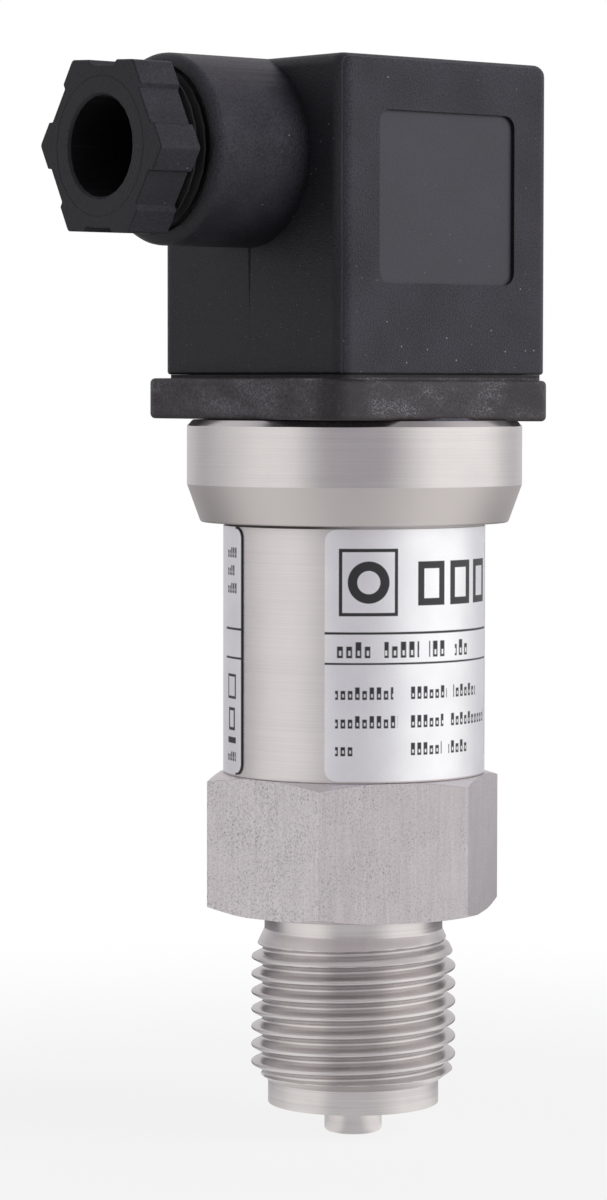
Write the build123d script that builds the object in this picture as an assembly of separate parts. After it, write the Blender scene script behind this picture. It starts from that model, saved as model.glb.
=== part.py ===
"""Pressure transmitter with a G1/2 process thread and a square angle plug.

Millimetres. The origin is the centre of the sealing face on the thread's end spigot. +Z runs up
the body, away from the process. The plug's cable gland points along -X and its recessed panel
faces -Y.
"""

import math
import os

from build123d import *

os.makedirs("parts", exist_ok=True)

# Clearances
CLEAR = 0.05  # radial, between a bore and what turns, slides or is set in it
SLIP = 0.10  # each side, round the blades in their sockets, and the sensor cell in its chamber
BODY_GAP = 0.30  # between the plug and the parts it is pulled away from
SOLDER_GAP = 0.02  # between a lead and what it is soldered to
PAST = 1.0  # how far a cutter runs past what it cuts

# Process end: centring pin, spigot and G1/2 B thread
PIN_R = 2.95
PIN_LEN = 3.0
PIN_EDGE = 0.45
THREAD_R = 20.955 / 2
SPIGOT_IN = 1.7275  # how far the spigot stands in from the thread's crests
SPIGOT_R = THREAD_R - SPIGOT_IN
SPIGOT_LEN = 2.1
THREAD_PITCH = 1.814
THREAD_DEPTH = 1.162
THREAD_HALF_ANGLE = 27.5
THREAD_FLAT = THREAD_PITCH / 6
THREAD_CREST_Z = 4.60  # height of a crest on the side that faces the heading below
THREAD_CREST_HEADING = 228.8
SEAM_HEADINGS = (137, 71)  # where the bar's and the trimmed faces' seams lie, off the groove's ends
NECK_IN = 1.3475  # how far the neck stands in from the crests
NECK_R = THREAD_R - NECK_IN
NECK_LEN = 2.0
NECK_CONE_LEN = 2.93
NECK_BLEND = 0.5
CHANNEL_R = 1.75
CHANNEL_MOUTH = 0.4

# Spanner hexagon
SHOULDER = 20.0  # height of the hexagon's underside
HEX_AF = 27.0
HEX_LEN = 14.0
HEX_TURN = 36.0
HEX_BEVEL = 0.55  # height that the 30 degree bevel takes off each corner
HEX_TOP = SHOULDER + HEX_LEN

# Body tube
TUBE_R = 13.25
TUBE_WALL = 1.5
TUBE_LEN = 33.0
TUBE_EDGE = 0.15
TUBE_BORE = TUBE_R - TUBE_WALL
TUBE_TOP = HEX_TOP + TUBE_LEN

# Boss inside the tube's foot, and the sensor chamber
BOSS_LEN = 4.0
BOSS_R = TUBE_BORE - CLEAR
BOSS_TOP = HEX_TOP + BOSS_LEN
CELL_R = 9.0
CELL_H = 6.35
CELL_EDGE = 0.2
CELL_DISH_R = 4.4
CELL_DISH = 0.15
CELL_DEPTH = 8.0  # of the chamber's floor below the hexagon's top
CELL_SEAT = HEX_TOP - CELL_DEPTH
CELL_TOP = CELL_SEAT + CELL_H
CELL_STEP = 0.5  # the chamber's narrow part ends this far above the cell's middle plane
RING_R = 10.0
RING_H = 4.0
RING_BORE = 6.0
RING_SLOT_W = 1.4
RING_SLOT_DEPTH = 1.2
RING_TOP = CELL_TOP + RING_H

# Rubber rings, squeezed nearly square in their grooves
CELL_SEAL_R = 6.4
CELL_SEAL_W = 2.1
CELL_SEAL_H = 1.35
CELL_GROOVE_W = 2.4
SEAL_EDGE_SHARE = 0.28  # share of a ring's height that each bevelled corner takes

# Circuit board, and the parts on it in grid steps of the board
BOARD_T = 1.0
BOARD_MARGIN = 1.05
BOARD_FOOT_MARGIN = 0.4
BOARD_HEADROOM = 5.5  # from the board's top to the tube's
BOARD_LIFT = 0.6  # of the board's wide part above the boss
BOARD_HALF = TUBE_BORE - BOARD_MARGIN
BOARD_FOOT_HALF = RING_R - BOARD_FOOT_MARGIN
BOARD_FOOT = RING_TOP - RING_SLOT_DEPTH + CLEAR
BOARD_STEP = BOSS_TOP + BOARD_LIFT
BOARD_TOP = TUBE_TOP - BOARD_HEADROOM
BOARD_GRID = 1.27
CONTROLLER = (-1.0, 8.0, 4.0, 5.0, 1.25)  # across, up, width, height, thickness
TRIMMERS = ((4.5, 12.5, 3.0, 3.0, 2.0), (4.5, 8.5, 3.0, 3.0, 2.0))
TRIMMER_SLOT = (1.8, 0.4, 0.3)
CHIPS_FRONT = (
    (-5.0, 12.5, 1.25, 2.5, 0.75),
    (-5.0, 9.0, 1.25, 2.5, 0.75),
    (-5.0, 5.5, 1.25, 2.5, 0.75),
    (4.0, 4.0, 2.5, 1.25, 0.75),
)
CHIPS_BACK = (
    (-3.0, 11.5, 3.5, 2.5, 1.5),
    (3.0, 11.5, 2.5, 3.5, 1.0),
    (-1.0, 6.0, 5.0, 2.0, 1.25),
    (4.5, 5.0, 1.25, 2.5, 0.75),
)

# Flat flexible strip from the cell to the board, and square solid wires up to the blades
FLEX_W = 5.08
FLEX_T = 0.3
FLEX_FOOT = 4.4
FLEX_BEND = 0.8
FLEX_REACH = 4.4
LEAD_HALF = 0.4
LEAD_BEND = 1.5
LEAD_OFFSET = 0.8
LEAD_LAP = 3.0

# Collar ring on the tube's head
COLLAR_OUT = 3.85  # how far the collar stands out from the tube
COLLAR_TAPER = 1.4  # how much less its foot stands out
COLLAR_LEN = 10.4
COLLAR_TAPER_LEN = 4.15
COLLAR_FOOT_EDGE = 0.25
COLLAR_BEVEL = 0.5
COLLAR_WALL = 2.05  # beside the carrier's flange
COLLAR_R = TUBE_R + COLLAR_OUT
COLLAR_FOOT_R = COLLAR_R - COLLAR_TAPER

# Contact carrier of the device
FLANGE_T = 3.3
FLANGE_PROUD = 0.25
FLANGE_R = COLLAR_R - COLLAR_WALL - CLEAR
FLANGE_TOP = TUBE_TOP + FLANGE_T
COLLAR_TOP = FLANGE_TOP - FLANGE_PROUD
COLLAR_FOOT = COLLAR_TOP - COLLAR_LEN
FLANGE_GROOVE_DEPTH = 0.8
FLANGE_GROOVE_W = 1.4
FLANGE_GROOVE_UP = 1.0
FLANGE_GROOVE_LOW = TUBE_TOP + FLANGE_GROOVE_UP
FLANGE_SEAL_H = 0.84
STEM_R = TUBE_BORE - SLIP
STEM_LEN = 5.0
DECK_HALF = 10.8
DECK_CORNER = 2.5
DECK_H = 3.3
DECK_TOP = FLANGE_TOP + DECK_H
BUSH_R = 3.25
BUSH_WALL = 1.6  # of the holder round the bush
BUSH_FLOOR = 1.2
BUSH_EDGE = 0.3
BUSH_SUNK = 2.0  # below the tube's top
BUSH_PROUD = 0.6  # above the deck
BUSH_FOOT = TUBE_TOP - BUSH_SUNK
BUSH_TOP = DECK_TOP + BUSH_PROUD
BLADE_W = 6.3
BLADE_T = 0.8
BLADE_OUT = 9.0  # distance of each blade's middle from the axis
BLADE_LEN = 10.0  # above the deck
BLADE_POINT = 0.6
BLADE_TOP = DECK_TOP + BLADE_LEN
EARTH_EXTRA = 1.0
TAG_W = 2.6
TAG_LEN = 4.0
TAG_SUNK = 0.2  # how far the blade's wide part ends above the tube's top
TAG_TOP = TUBE_TOP + TAG_SUNK
TAG_FOOT = TAG_TOP - TAG_LEN
STEM_MARGIN = 0.5  # between the tags and the stem
STEM_BORE = BLADE_OUT + BLADE_T / 2 + STEM_MARGIN

# Type label wrapped round the tube, with a margin of bare tube below and above it
LABEL_T = 0.15
LABEL_MARGINS = (0.25, 0.35)
LABEL_START = 216.2
LABEL_SPAN = 315.2
LABEL_CORNER = 1.2
LABEL_LOW = HEX_TOP + LABEL_MARGINS[0]
LABEL_HIGH = COLLAR_FOOT - LABEL_MARGINS[1]

# Gasket plate under the plug
GASKET_T = 4.15
GASKET_PROUD = 0.95  # how far it stands out from the plug on each side, before its shift
GASKET_SHIFT = -0.95
GASKET_CORNER = 2.3
GASKET_EDGE = 0.45
GASKET_FIT = 0.25  # round the deck
GASKET_LOW = FLANGE_TOP
GASKET_HIGH = GASKET_LOW + GASKET_T

# Plug housing
HOOD_OUT = 0.75  # how far the plug's sides stand out from the tube
HOOD_HALF = TUBE_R + HOOD_OUT
HOOD_H = 31.15
HOOD_CORNER = 1.5
HOOD_TOP_EDGE = 1.2
HOOD_LOW_EDGE = 0.3
HOOD_WALL = 2.0
HOOD_ROOF = 2.0
HOOD_INNER_CORNER = 0.8
HOOD_LOW = GASKET_HIGH + BODY_GAP
HOOD_HIGH = HOOD_LOW + HOOD_H
PANEL_W = 18.1
PANEL_DEPTH = 0.4
PANEL_CORNER = 1.3
PANEL_MARGINS = (8.85, 5.35)  # below and above the panel
PANEL_LOW = HOOD_LOW + PANEL_MARGINS[0]
PANEL_HIGH = HOOD_HIGH - PANEL_MARGINS[1]
GLAND_DROP = 9.3
GLAND_Z = HOOD_HIGH - GLAND_DROP
BARREL_R = 9.4
BARREL_LEN = 11.9
BARREL_EDGE = 1.3
BARREL_END = HOOD_HALF + BARREL_LEN

# Centre screw, M3 drawn without its thread, on its rubber ring in the plug's seat
SCREW_R = 1.5
SCREW_BORE = SCREW_R + CLEAR
SCREW_TIP_BEVEL = 0.4
SCREW_HEAD_R = 2.75
SCREW_HEAD_H = 2.2
SCREW_HEAD_EDGE = 0.3
SCREW_SLOT_W = 0.8
SCREW_SLOT_DEPTH = 0.9
SCREW_SEAL_R = 3.3
SCREW_SEAL_T = 0.7
SCREW_TIP_GAP = 1.2
SCREW_HEAD_SUNK = 0.4
SCREW_TIP = BUSH_FOOT + BUSH_FLOOR + SCREW_TIP_GAP
SCREW_HEAD_HIGH = HOOD_HIGH - SCREW_HEAD_SUNK
SCREW_HEAD_LOW = SCREW_HEAD_HIGH - SCREW_HEAD_H
SEAT_Z = SCREW_HEAD_LOW - SCREW_SEAL_T - 2 * CLEAR
SEAT_R = 3.7
SEAT_WALL = 1.4
SEAT_FLOOR = 1.8
SEAT_HOLE_R = 1.95

# Cable gland. Lengths are distances from the body's axis, towards -X
GLAND_GAP = 2.0  # between the barrel's mouth and the hexagon
GLAND_HEX_LEN = 4.9
GLAND_AF = 16.6
GLAND_TURN = -2.6
GLAND_FLAT_CUT = 0.45
GLAND_FLAT_SHARE = 0.44
GLAND_CORNER = 0.35
GLAND_THREAD_R = 8.0
GLAND_STEM_IN = 6.4
GLAND_BORE_R = 4.9
GLAND_MOUTH = 0.25
GLAND_RING_R = 6.75
GLAND_RING_W = 0.10
GLAND_HEX_BACK = BARREL_END + GLAND_GAP
GLAND_FACE = GLAND_HEX_BACK + GLAND_HEX_LEN
GLAND_STEM_END = BARREL_END - GLAND_STEM_IN
WASHER_T = 0.9
WASHER_R = 6.85
WASHER_BORE_R = 5.6
WASHER_FAR = GLAND_STEM_END - SLIP
WASHER_NEAR = WASHER_FAR - WASHER_T
SEAL_ROOM_R = 7.0
SEAL_ROOM_SUNK = 0.8  # into the housing's wall
SEAL_STEP = 0.4  # of the washer's thickness that the wider thread holds
SEAL_ROOM_NEAR = HOOD_HALF - SEAL_ROOM_SUNK
SEAL_ROOM_FAR = WASHER_FAR - SEAL_STEP
SEAL_R = 6.9
SEAL_BORE_R = 4.6
SEAL_BEVEL = 0.8
SEAL_FACE = WASHER_NEAR - SLIP
WIRE_HOLE_R = 5.2

# Contact block, its sockets and terminal screws
BLOCK_HALF = HOOD_HALF - HOOD_WALL - BODY_GAP
BLOCK_CORNER = 0.6
COLUMN_R = 3.2
SOCKET_WALL = 0.45
CLAMP_W = 6.6
CLAMP_H = 4.7
CLAMP_IN = 5.4
CLAMP_OUT = 10.2
CLAMP_SINK = 3.1  # how deep the block holds each clamp
CLAMP_SCREW_OUT = 7.7
CLAMP_SCREW_R = 1.5
CLAMP_SCREW_LEN = 3.4
CLAMP_HEAD_R = 2.3
CLAMP_HEAD_H = 1.6
CLAMP_SLOT = 0.7
CLAMP_WIRE = 2.4
CLAMP_WIRE_DROP = 2.6
POCKET_GAP = 0.15
BLOCK_LOW = HOOD_LOW + BODY_GAP
SOCKET_SUNK = 0.6
SOCKET_LOW = BLOCK_LOW + SOCKET_SUNK
SOCKET_ROOM = BLADE_T / 2 + SLIP
SOCKET_HALF = BLADE_W / 2 + SLIP
SOCKET_ROOM_TOP = BLADE_TOP + EARTH_EXTRA + 2 * SLIP
CLAMP_FLOOR = SOCKET_ROOM_TOP + SLIP
CLAMP_TOP = CLAMP_FLOOR + CLAMP_H
BLOCK_HIGH = CLAMP_FLOOR + CLAMP_SINK
COLUMN_TOP = SEAT_Z - SEAT_FLOOR - BODY_GAP


def cyl(radius, low, high):
    """A cylinder about Z between two heights."""
    return Pos(0, 0, low) * Cylinder(radius, high - low, align=(Align.CENTER, Align.CENTER, Align.MIN))


def ring(outer, inner, low, high):
    """A flat-ended ring about Z."""
    return cyl(outer, low, high) - cyl(inner, low - PAST, high + PAST)


def block(x_range, y_range, z_range):
    """A box between two limits along each axis."""
    middle = [(a + b) / 2 for a, b in (x_range, y_range, z_range)]
    size = [b - a for a, b in (x_range, y_range, z_range)]
    return Pos(*middle) * Box(*size)


def turned(points):
    """A solid of revolution about Z from (radius, height) points."""
    return revolve(Plane.XZ * make_face(Polyline(*points, close=True)), Axis.Z)


def nearest(face, x, y):
    """The corner of a flat outline that lies nearest to a place."""
    return face.vertices().sort_by_distance((x, y, 0))[0]


def rounded_post(half_x, half_y, low, high, corner):
    """An upright post with rounded vertical edges."""
    outline = RectangleRounded(2 * half_x, 2 * half_y, corner)
    return extrude(Plane.XY.offset(low) * outline, high - low)


def along_gland(shape):
    """Lay a shape built about Z so that its Z runs out of the gland, from the body's axis."""
    return Pos(0, 0, GLAND_Z) * Rot(0, -90, 0) * shape


def at_blades(shape):
    """Copies of a shape built at +X, one at each of the four contact places."""
    return [Rot(0, 0, 90 * k) * shape for k in range(4)]


def save(shape, node):
    """Write one node, as one solid or as a group of separate solids."""
    if isinstance(shape, list):
        shape = Compound(children=[s for piece in shape for s in piece.solids()])
    export_step(shape, f"parts/{node}.step")


def thread_bar(low, high):
    """A bar with the right-hand G1/2 groove cut in it.

    The groove is swept along a helix that starts and ends inside the bar, so every crest stays a
    true cylinder face. The ends are trimmed to the spigot and the neck afterwards.
    """
    root_r = THREAD_R - THREAD_DEPTH
    mouth_x = THREAD_DEPTH + CLEAR
    mouth = THREAD_FLAT / 2 + mouth_x * math.tan(math.radians(THREAD_HALF_ANGLE))
    groove_z = THREAD_CREST_Z + THREAD_PITCH * (1 / 2 - THREAD_CREST_HEADING / 360)
    start = groove_z - THREAD_PITCH
    path = Helix(pitch=THREAD_PITCH, height=SHOULDER - start, radius=root_r, center=(0, 0, start))
    outline = Polyline(
        (0, -THREAD_FLAT / 2),
        (mouth_x, -mouth),
        (mouth_x, mouth),
        (0, THREAD_FLAT / 2),
        close=True,
    )
    section = Plane(origin=(root_r, 0, start), x_dir=(1, 0, 0), z_dir=(0, -1, 0)) * outline
    groove = sweep(make_face(section), path=path, is_frenet=True)
    return Rot(0, 0, SEAM_HEADINGS[0]) * cyl(THREAD_R, low, high) - groove


def neck_cutter(far):
    """What is turned away above the thread: a cone down to the neck, with soft corners."""
    slope = (THREAD_R - NECK_R) / NECK_CONE_LEN
    cone_top = SHOULDER - NECK_LEN
    outline = make_face(
        Polyline(
            (NECK_R, SHOULDER),
            (far, SHOULDER),
            (far, cone_top - (far - NECK_R) / slope),
            (NECK_R, cone_top),
            close=True,
        )
    )
    outline = fillet(nearest(outline, NECK_R, SHOULDER), NECK_BLEND)
    outline = fillet(nearest(outline, NECK_R, cone_top), NECK_BLEND)
    return revolve(Plane.XZ * outline, Axis.Z)


def threaded_end():
    """The thread between its lead-in bevel and the turned neck."""
    far = THREAD_R + THREAD_PITCH
    low = -SHOULDER
    high = 2 * SHOULDER
    spigot_cutter = turned(
        [
            (SPIGOT_R, low),
            (far, low),
            (far, SPIGOT_LEN + far - SPIGOT_R),
            (SPIGOT_R, SPIGOT_LEN),
        ]
    )
    seam = Rot(0, 0, SEAM_HEADINGS[1])
    bar = thread_bar(low / 2, high) - seam * spigot_cutter
    bar = bar - seam * neck_cutter(far)
    bar = bar - cyl(far, low, 0)
    return bar - cyl(far, SHOULDER + PAST, high + PAST)


def hexagon():
    """The spanner hexagon, with a 30 degree bevel turned on both ends."""
    outline = RegularPolygon(HEX_AF / 2, 6, major_radius=False)
    post = extrude(Plane.XY.offset(SHOULDER) * outline, HEX_LEN)
    corner = HEX_AF / math.sqrt(3)
    slope = math.tan(math.radians(30))
    face_r = corner - HEX_BEVEL / slope
    drop = HEX_BEVEL + PAST * slope
    barrel = turned(
        [
            (0, SHOULDER),
            (face_r, SHOULDER),
            (corner + PAST, SHOULDER + drop),
            (corner + PAST, HEX_TOP - drop),
            (face_r, HEX_TOP),
            (0, HEX_TOP),
        ]
    )
    return Rot(0, 0, HEX_TURN) * (post & barrel)


def process_connection():
    """Pin, spigot, thread, neck, hexagon and sensor boss, turned from one bar."""
    pin = fillet(cyl(PIN_R, -PIN_LEN, PAST).edges().group_by(Axis.Z)[0], PIN_EDGE)
    shape = threaded_end() + pin + hexagon()
    shape += cyl(BOSS_R, HEX_TOP - PAST, BOSS_TOP)
    shape -= cyl(CELL_R + SLIP, CELL_SEAT, CELL_TOP + PAST)
    shape -= cyl(RING_R, CELL_SEAT + CELL_H / 2 + CELL_STEP, BOSS_TOP + PAST)
    half = CELL_GROOVE_W / 2
    shape -= ring(CELL_SEAL_R + half, CELL_SEAL_R - half, CELL_SEAT - CELL_SEAL_H, CELL_SEAT + PAST)
    shape -= cyl(CHANNEL_R, -PIN_LEN - PAST, CELL_SEAT + PAST)
    mouth = turned(
        [
            (0, -PIN_LEN - PAST),
            (CHANNEL_R + CHANNEL_MOUTH + PAST, -PIN_LEN - PAST),
            (CHANNEL_R, -PIN_LEN + CHANNEL_MOUTH),
            (0, -PIN_LEN + CHANNEL_MOUTH),
        ]
    )
    return shape - mouth


def sensor_cell():
    """The ceramic measuring cell, dished where the process presses on it."""
    cell = cyl(CELL_R, CELL_SEAT, CELL_TOP)
    cell = chamfer(cell.edges().filter_by(GeomType.CIRCLE), CELL_EDGE)
    return cell - cyl(CELL_DISH_R, CELL_SEAT - PAST, CELL_SEAT + CELL_DISH)


def squeezed_ring(mid_r, width, low, height):
    """A rubber ring squeezed nearly square in its groove, with bevelled corners."""
    profile = Rectangle(width, height)
    profile = chamfer(profile.vertices(), height * SEAL_EDGE_SHARE)
    return revolve(Plane.XZ * Pos(mid_r, low + height / 2) * profile, Axis.Z)


def sensor_ring():
    """The threaded ring that presses the cell down, with its two key slots."""
    shape = ring(RING_R - CLEAR, RING_BORE, CELL_TOP, RING_TOP)
    half = RING_SLOT_W / 2
    return shape - block((-RING_R, RING_R), (-half, half), (RING_TOP - RING_SLOT_DEPTH, RING_TOP + PAST))


def housing_tube():
    """The body tube, welded on the hexagon."""
    tube = cyl(TUBE_R, HEX_TOP, TUBE_TOP)
    tube = chamfer(tube.edges().filter_by(GeomType.CIRCLE).group_by(Axis.Z)[0], TUBE_EDGE)
    return tube - cyl(TUBE_BORE, HEX_TOP - PAST, TUBE_TOP + PAST)


def collar():
    """The collar ring, pressed on the tube and tapered towards its foot."""
    return turned(
        [
            (TUBE_R + CLEAR, COLLAR_FOOT),
            (COLLAR_FOOT_R - COLLAR_FOOT_EDGE, COLLAR_FOOT),
            (COLLAR_FOOT_R, COLLAR_FOOT + COLLAR_FOOT_EDGE),
            (COLLAR_R, COLLAR_FOOT + COLLAR_TAPER_LEN),
            (COLLAR_R, COLLAR_TOP - COLLAR_BEVEL),
            (COLLAR_R - COLLAR_BEVEL, COLLAR_TOP),
            (FLANGE_R + CLEAR, COLLAR_TOP),
            (FLANGE_R + CLEAR, TUBE_TOP),
            (TUBE_R + CLEAR, TUBE_TOP),
        ]
    )


def type_label():
    """The foil label, with a bare strip of tube between its two rounded ends."""
    sector = Plane.XZ * make_face(
        Polyline(
            (TUBE_R, LABEL_LOW),
            (TUBE_R + LABEL_T, LABEL_LOW),
            (TUBE_R + LABEL_T, LABEL_HIGH),
            (TUBE_R, LABEL_HIGH),
            close=True,
        )
    )
    shape = Rot(0, 0, LABEL_START) * revolve(sector, Axis.Z, LABEL_SPAN)
    size = LABEL_CORNER
    for heading, side in ((LABEL_START, 1), (LABEL_START + LABEL_SPAN, -1)):
        for height, up in ((LABEL_LOW, 1), (LABEL_HIGH, -1)):
            square = Pos(side * size / 2, up * size / 2) * Rectangle(size, size)
            disc = Pos(side * size, up * size) * Circle(size)
            facing = Plane(origin=(TUBE_BORE, 0, height), x_dir=(0, 1, 0), z_dir=(1, 0, 0))
            corner = extrude(facing * (square - disc), TUBE_WALL + LABEL_T + PAST)
            shape -= Rot(0, 0, heading) * corner
    return shape


def circuit_board():
    """The upright board, its foot standing in the ring's key slots."""
    half = BOARD_T / 2
    foot = block((-BOARD_FOOT_HALF, BOARD_FOOT_HALF), (-half, half), (BOARD_FOOT, BOARD_STEP))
    gap = RING_BORE - PAST
    foot -= block((-gap, gap), (-PAST, PAST), (BOARD_FOOT - PAST, RING_TOP + PAST / 2))
    top = block((-BOARD_HALF, BOARD_HALF), (-half, half), (BOARD_STEP, BOARD_TOP))
    return foot + top


def board_part(place, side):
    """One part soldered on the board, from its place and size in grid steps."""
    across, up, wide, tall, thick = (BOARD_GRID * value for value in place)
    face = BOARD_T / 2
    y_range = sorted((side * face, side * (face + thick)))
    middle = BOARD_STEP + up
    return block((across - wide / 2, across + wide / 2), y_range, (middle - tall / 2, middle + tall / 2))


def trimmer(place):
    """A trimmer with a slot across its front."""
    across, up, _, _, thick = (BOARD_GRID * value for value in place)
    wide, tall, deep = (BOARD_GRID * value for value in TRIMMER_SLOT)
    front = BOARD_T / 2 + thick
    middle = BOARD_STEP + up
    slot = block(
        (across - wide / 2, across + wide / 2),
        (front - deep, front + PAST),
        (middle - tall / 2, middle + tall / 2),
    )
    return board_part(place, 1) - slot


def board_parts():
    """The parts soldered on both sides of the board."""
    front = [board_part(place, 1) for place in (CONTROLLER, *CHIPS_FRONT)]
    back = [board_part(place, -1) for place in CHIPS_BACK]
    return front + [trimmer(place) for place in TRIMMERS] + back


def sensor_flex():
    """The flat strip from the cell's pads up the face of the board."""
    near = BOARD_T / 2 + SOLDER_GAP
    far = near + FLEX_T
    low = CELL_TOP + SOLDER_GAP
    high = BOARD_STEP + FLEX_REACH
    outline = make_face(
        Polyline(
            (near, low),
            (FLEX_FOOT, low),
            (FLEX_FOOT, low + FLEX_T),
            (far, low + FLEX_T),
            (far, high),
            (near, high),
            close=True,
        )
    )
    outline = fillet(nearest(outline, near, low), FLEX_BEND + FLEX_T)
    outline = fillet(nearest(outline, far, low + FLEX_T), FLEX_BEND)
    return extrude(Plane.YZ * outline, FLEX_W / 2, both=True)


def lead(path):
    """A square tinned wire along a path."""
    start = Plane(origin=path @ 0, z_dir=path % 0)
    return sweep(start * Rectangle(2 * LEAD_HALF, 2 * LEAD_HALF), path=path)


def plug_leads():
    """Wires from the head of the board up to the blades' solder tags."""
    face = BOARD_T / 2 + LEAD_HALF + SOLDER_GAP
    out = BLADE_OUT - BLADE_T / 2 - LEAD_HALF - SOLDER_GAP
    low = BOARD_TOP - LEAD_LAP
    high = TAG_TOP - LEAD_HALF
    shapes = []
    for side in (1, -1):
        shapes.append(lead(Line((side * out, face, low), (side * out, face, high))))
        bent = [
            (LEAD_OFFSET, side * face, low),
            (LEAD_OFFSET, side * face, BOARD_TOP - LEAD_HALF),
            (LEAD_OFFSET, side * out, TAG_FOOT + LEAD_HALF),
            (LEAD_OFFSET, side * out, high),
        ]
        shapes.append(lead(FilletPolyline(*bent, radius=LEAD_BEND)))
    return shapes


def blade(extra):
    """One flat contact blade at +X, with a narrow solder tag below."""
    half = BLADE_W / 2
    tag = TAG_W / 2
    top = BLADE_TOP + extra
    outline = Polyline(
        (-tag, TAG_FOOT),
        (tag, TAG_FOOT),
        (tag, TAG_TOP),
        (half, TAG_TOP),
        (half, top - BLADE_POINT),
        (half - BLADE_POINT, top),
        (-half + BLADE_POINT, top),
        (-half, top - BLADE_POINT),
        (-half, TAG_TOP),
        (-tag, TAG_TOP),
        close=True,
    )
    side = Plane(origin=(BLADE_OUT - BLADE_T / 2, 0, 0), x_dir=(0, 1, 0), z_dir=(1, 0, 0))
    return extrude(side * make_face(outline), BLADE_T)


def contact_carrier():
    """The insulating carrier with its flange, deck, stem and blade slots."""
    inside = TUBE_TOP + PAST / 2
    holder_r = BUSH_R + BUSH_WALL
    groove_r = FLANGE_R - FLANGE_GROOVE_DEPTH
    shape = cyl(FLANGE_R, TUBE_TOP, FLANGE_TOP)
    shape -= ring(FLANGE_R + PAST, groove_r, FLANGE_GROOVE_LOW, FLANGE_GROOVE_LOW + FLANGE_GROOVE_W)
    shape += rounded_post(DECK_HALF, DECK_HALF, FLANGE_TOP - PAST, DECK_TOP, DECK_CORNER)
    shape += ring(STEM_R, STEM_BORE, TUBE_TOP - STEM_LEN, inside)
    shape += cyl(holder_r, BUSH_FOOT - BUSH_FLOOR, inside)
    shape -= cyl(BUSH_R, BUSH_FOOT, DECK_TOP + PAST)
    for slot in at_blades(blade(EARTH_EXTRA)):
        shape -= slot
    return shape


def carrier_seal():
    """The rubber ring that seals the carrier's flange in the collar."""
    outer = FLANGE_R + CLEAR
    inner = FLANGE_R - FLANGE_GROOVE_DEPTH
    low = FLANGE_GROOVE_LOW + (FLANGE_GROOVE_W - FLANGE_SEAL_H) / 2
    return squeezed_ring((outer + inner) / 2, outer - inner, low, FLANGE_SEAL_H)


def screw_bush():
    """The brass bush in the carrier's middle that takes the centre screw."""
    bush = cyl(BUSH_R, BUSH_FOOT, BUSH_TOP)
    bush = chamfer(bush.edges().filter_by(GeomType.CIRCLE).group_by(Axis.Z)[-1], BUSH_EDGE)
    return bush - cyl(SCREW_BORE, BUSH_FOOT + BUSH_FLOOR, BUSH_TOP + PAST)


def gasket_plate():
    """The thick square rubber gasket with a window round the carrier's deck."""
    half = HOOD_HALF + GASKET_PROUD
    plate = rounded_post(half, half, GASKET_LOW, GASKET_HIGH, GASKET_CORNER)
    rims = plate.faces().filter_by(Axis.Z).edges()
    plate = Pos(GASKET_SHIFT, 0, 0) * chamfer(rims, GASKET_EDGE)
    window = DECK_HALF + GASKET_FIT
    corner = DECK_CORNER + GASKET_FIT
    return plate - rounded_post(window, window, GASKET_LOW - PAST, GASKET_HIGH + PAST, corner)


def plug_hood():
    """The plug's hollow housing with its barrel, screw seat and recessed panel."""
    outer = rounded_post(HOOD_HALF, HOOD_HALF, HOOD_LOW, HOOD_HIGH, HOOD_CORNER)
    outer = fillet(outer.edges().group_by(Axis.Z)[-1], HOOD_TOP_EDGE)
    outer = chamfer(outer.edges().group_by(Axis.Z)[0], HOOD_LOW_EDGE)
    barrel = cyl(BARREL_R, 0, BARREL_END)
    barrel = fillet(barrel.edges().group_by(Axis.Z)[-1], BARREL_EDGE)
    shape = outer + along_gland(barrel)
    inner = HOOD_HALF - HOOD_WALL
    ceiling = HOOD_HIGH - HOOD_ROOF
    shape -= rounded_post(inner, inner, HOOD_LOW - PAST, ceiling, HOOD_INNER_CORNER)
    shape += cyl(SEAT_R + SEAT_WALL, SEAT_Z - SEAT_FLOOR, ceiling + HOOD_ROOF / 2)
    shape -= cyl(SEAT_R, SEAT_Z, HOOD_HIGH + PAST)
    shape -= cyl(SEAT_HOLE_R, SEAT_Z - SEAT_FLOOR - PAST, HOOD_HIGH)
    shape -= along_gland(cyl(GLAND_THREAD_R + CLEAR, SEAL_ROOM_FAR, BARREL_END + PAST))
    shape -= along_gland(cyl(SEAL_ROOM_R, SEAL_ROOM_NEAR, SEAL_ROOM_FAR))
    shape -= along_gland(cyl(WIRE_HOLE_R, inner - PAST, SEAL_ROOM_NEAR + PAST))
    middle = (PANEL_LOW + PANEL_HIGH) / 2
    plane = Plane(origin=(0, -HOOD_HALF - PAST, middle), x_dir=(1, 0, 0), z_dir=(0, 1, 0))
    outline = RectangleRounded(PANEL_W, PANEL_HIGH - PANEL_LOW, PANEL_CORNER)
    return shape - extrude(plane * outline, PAST + PANEL_DEPTH)


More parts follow.
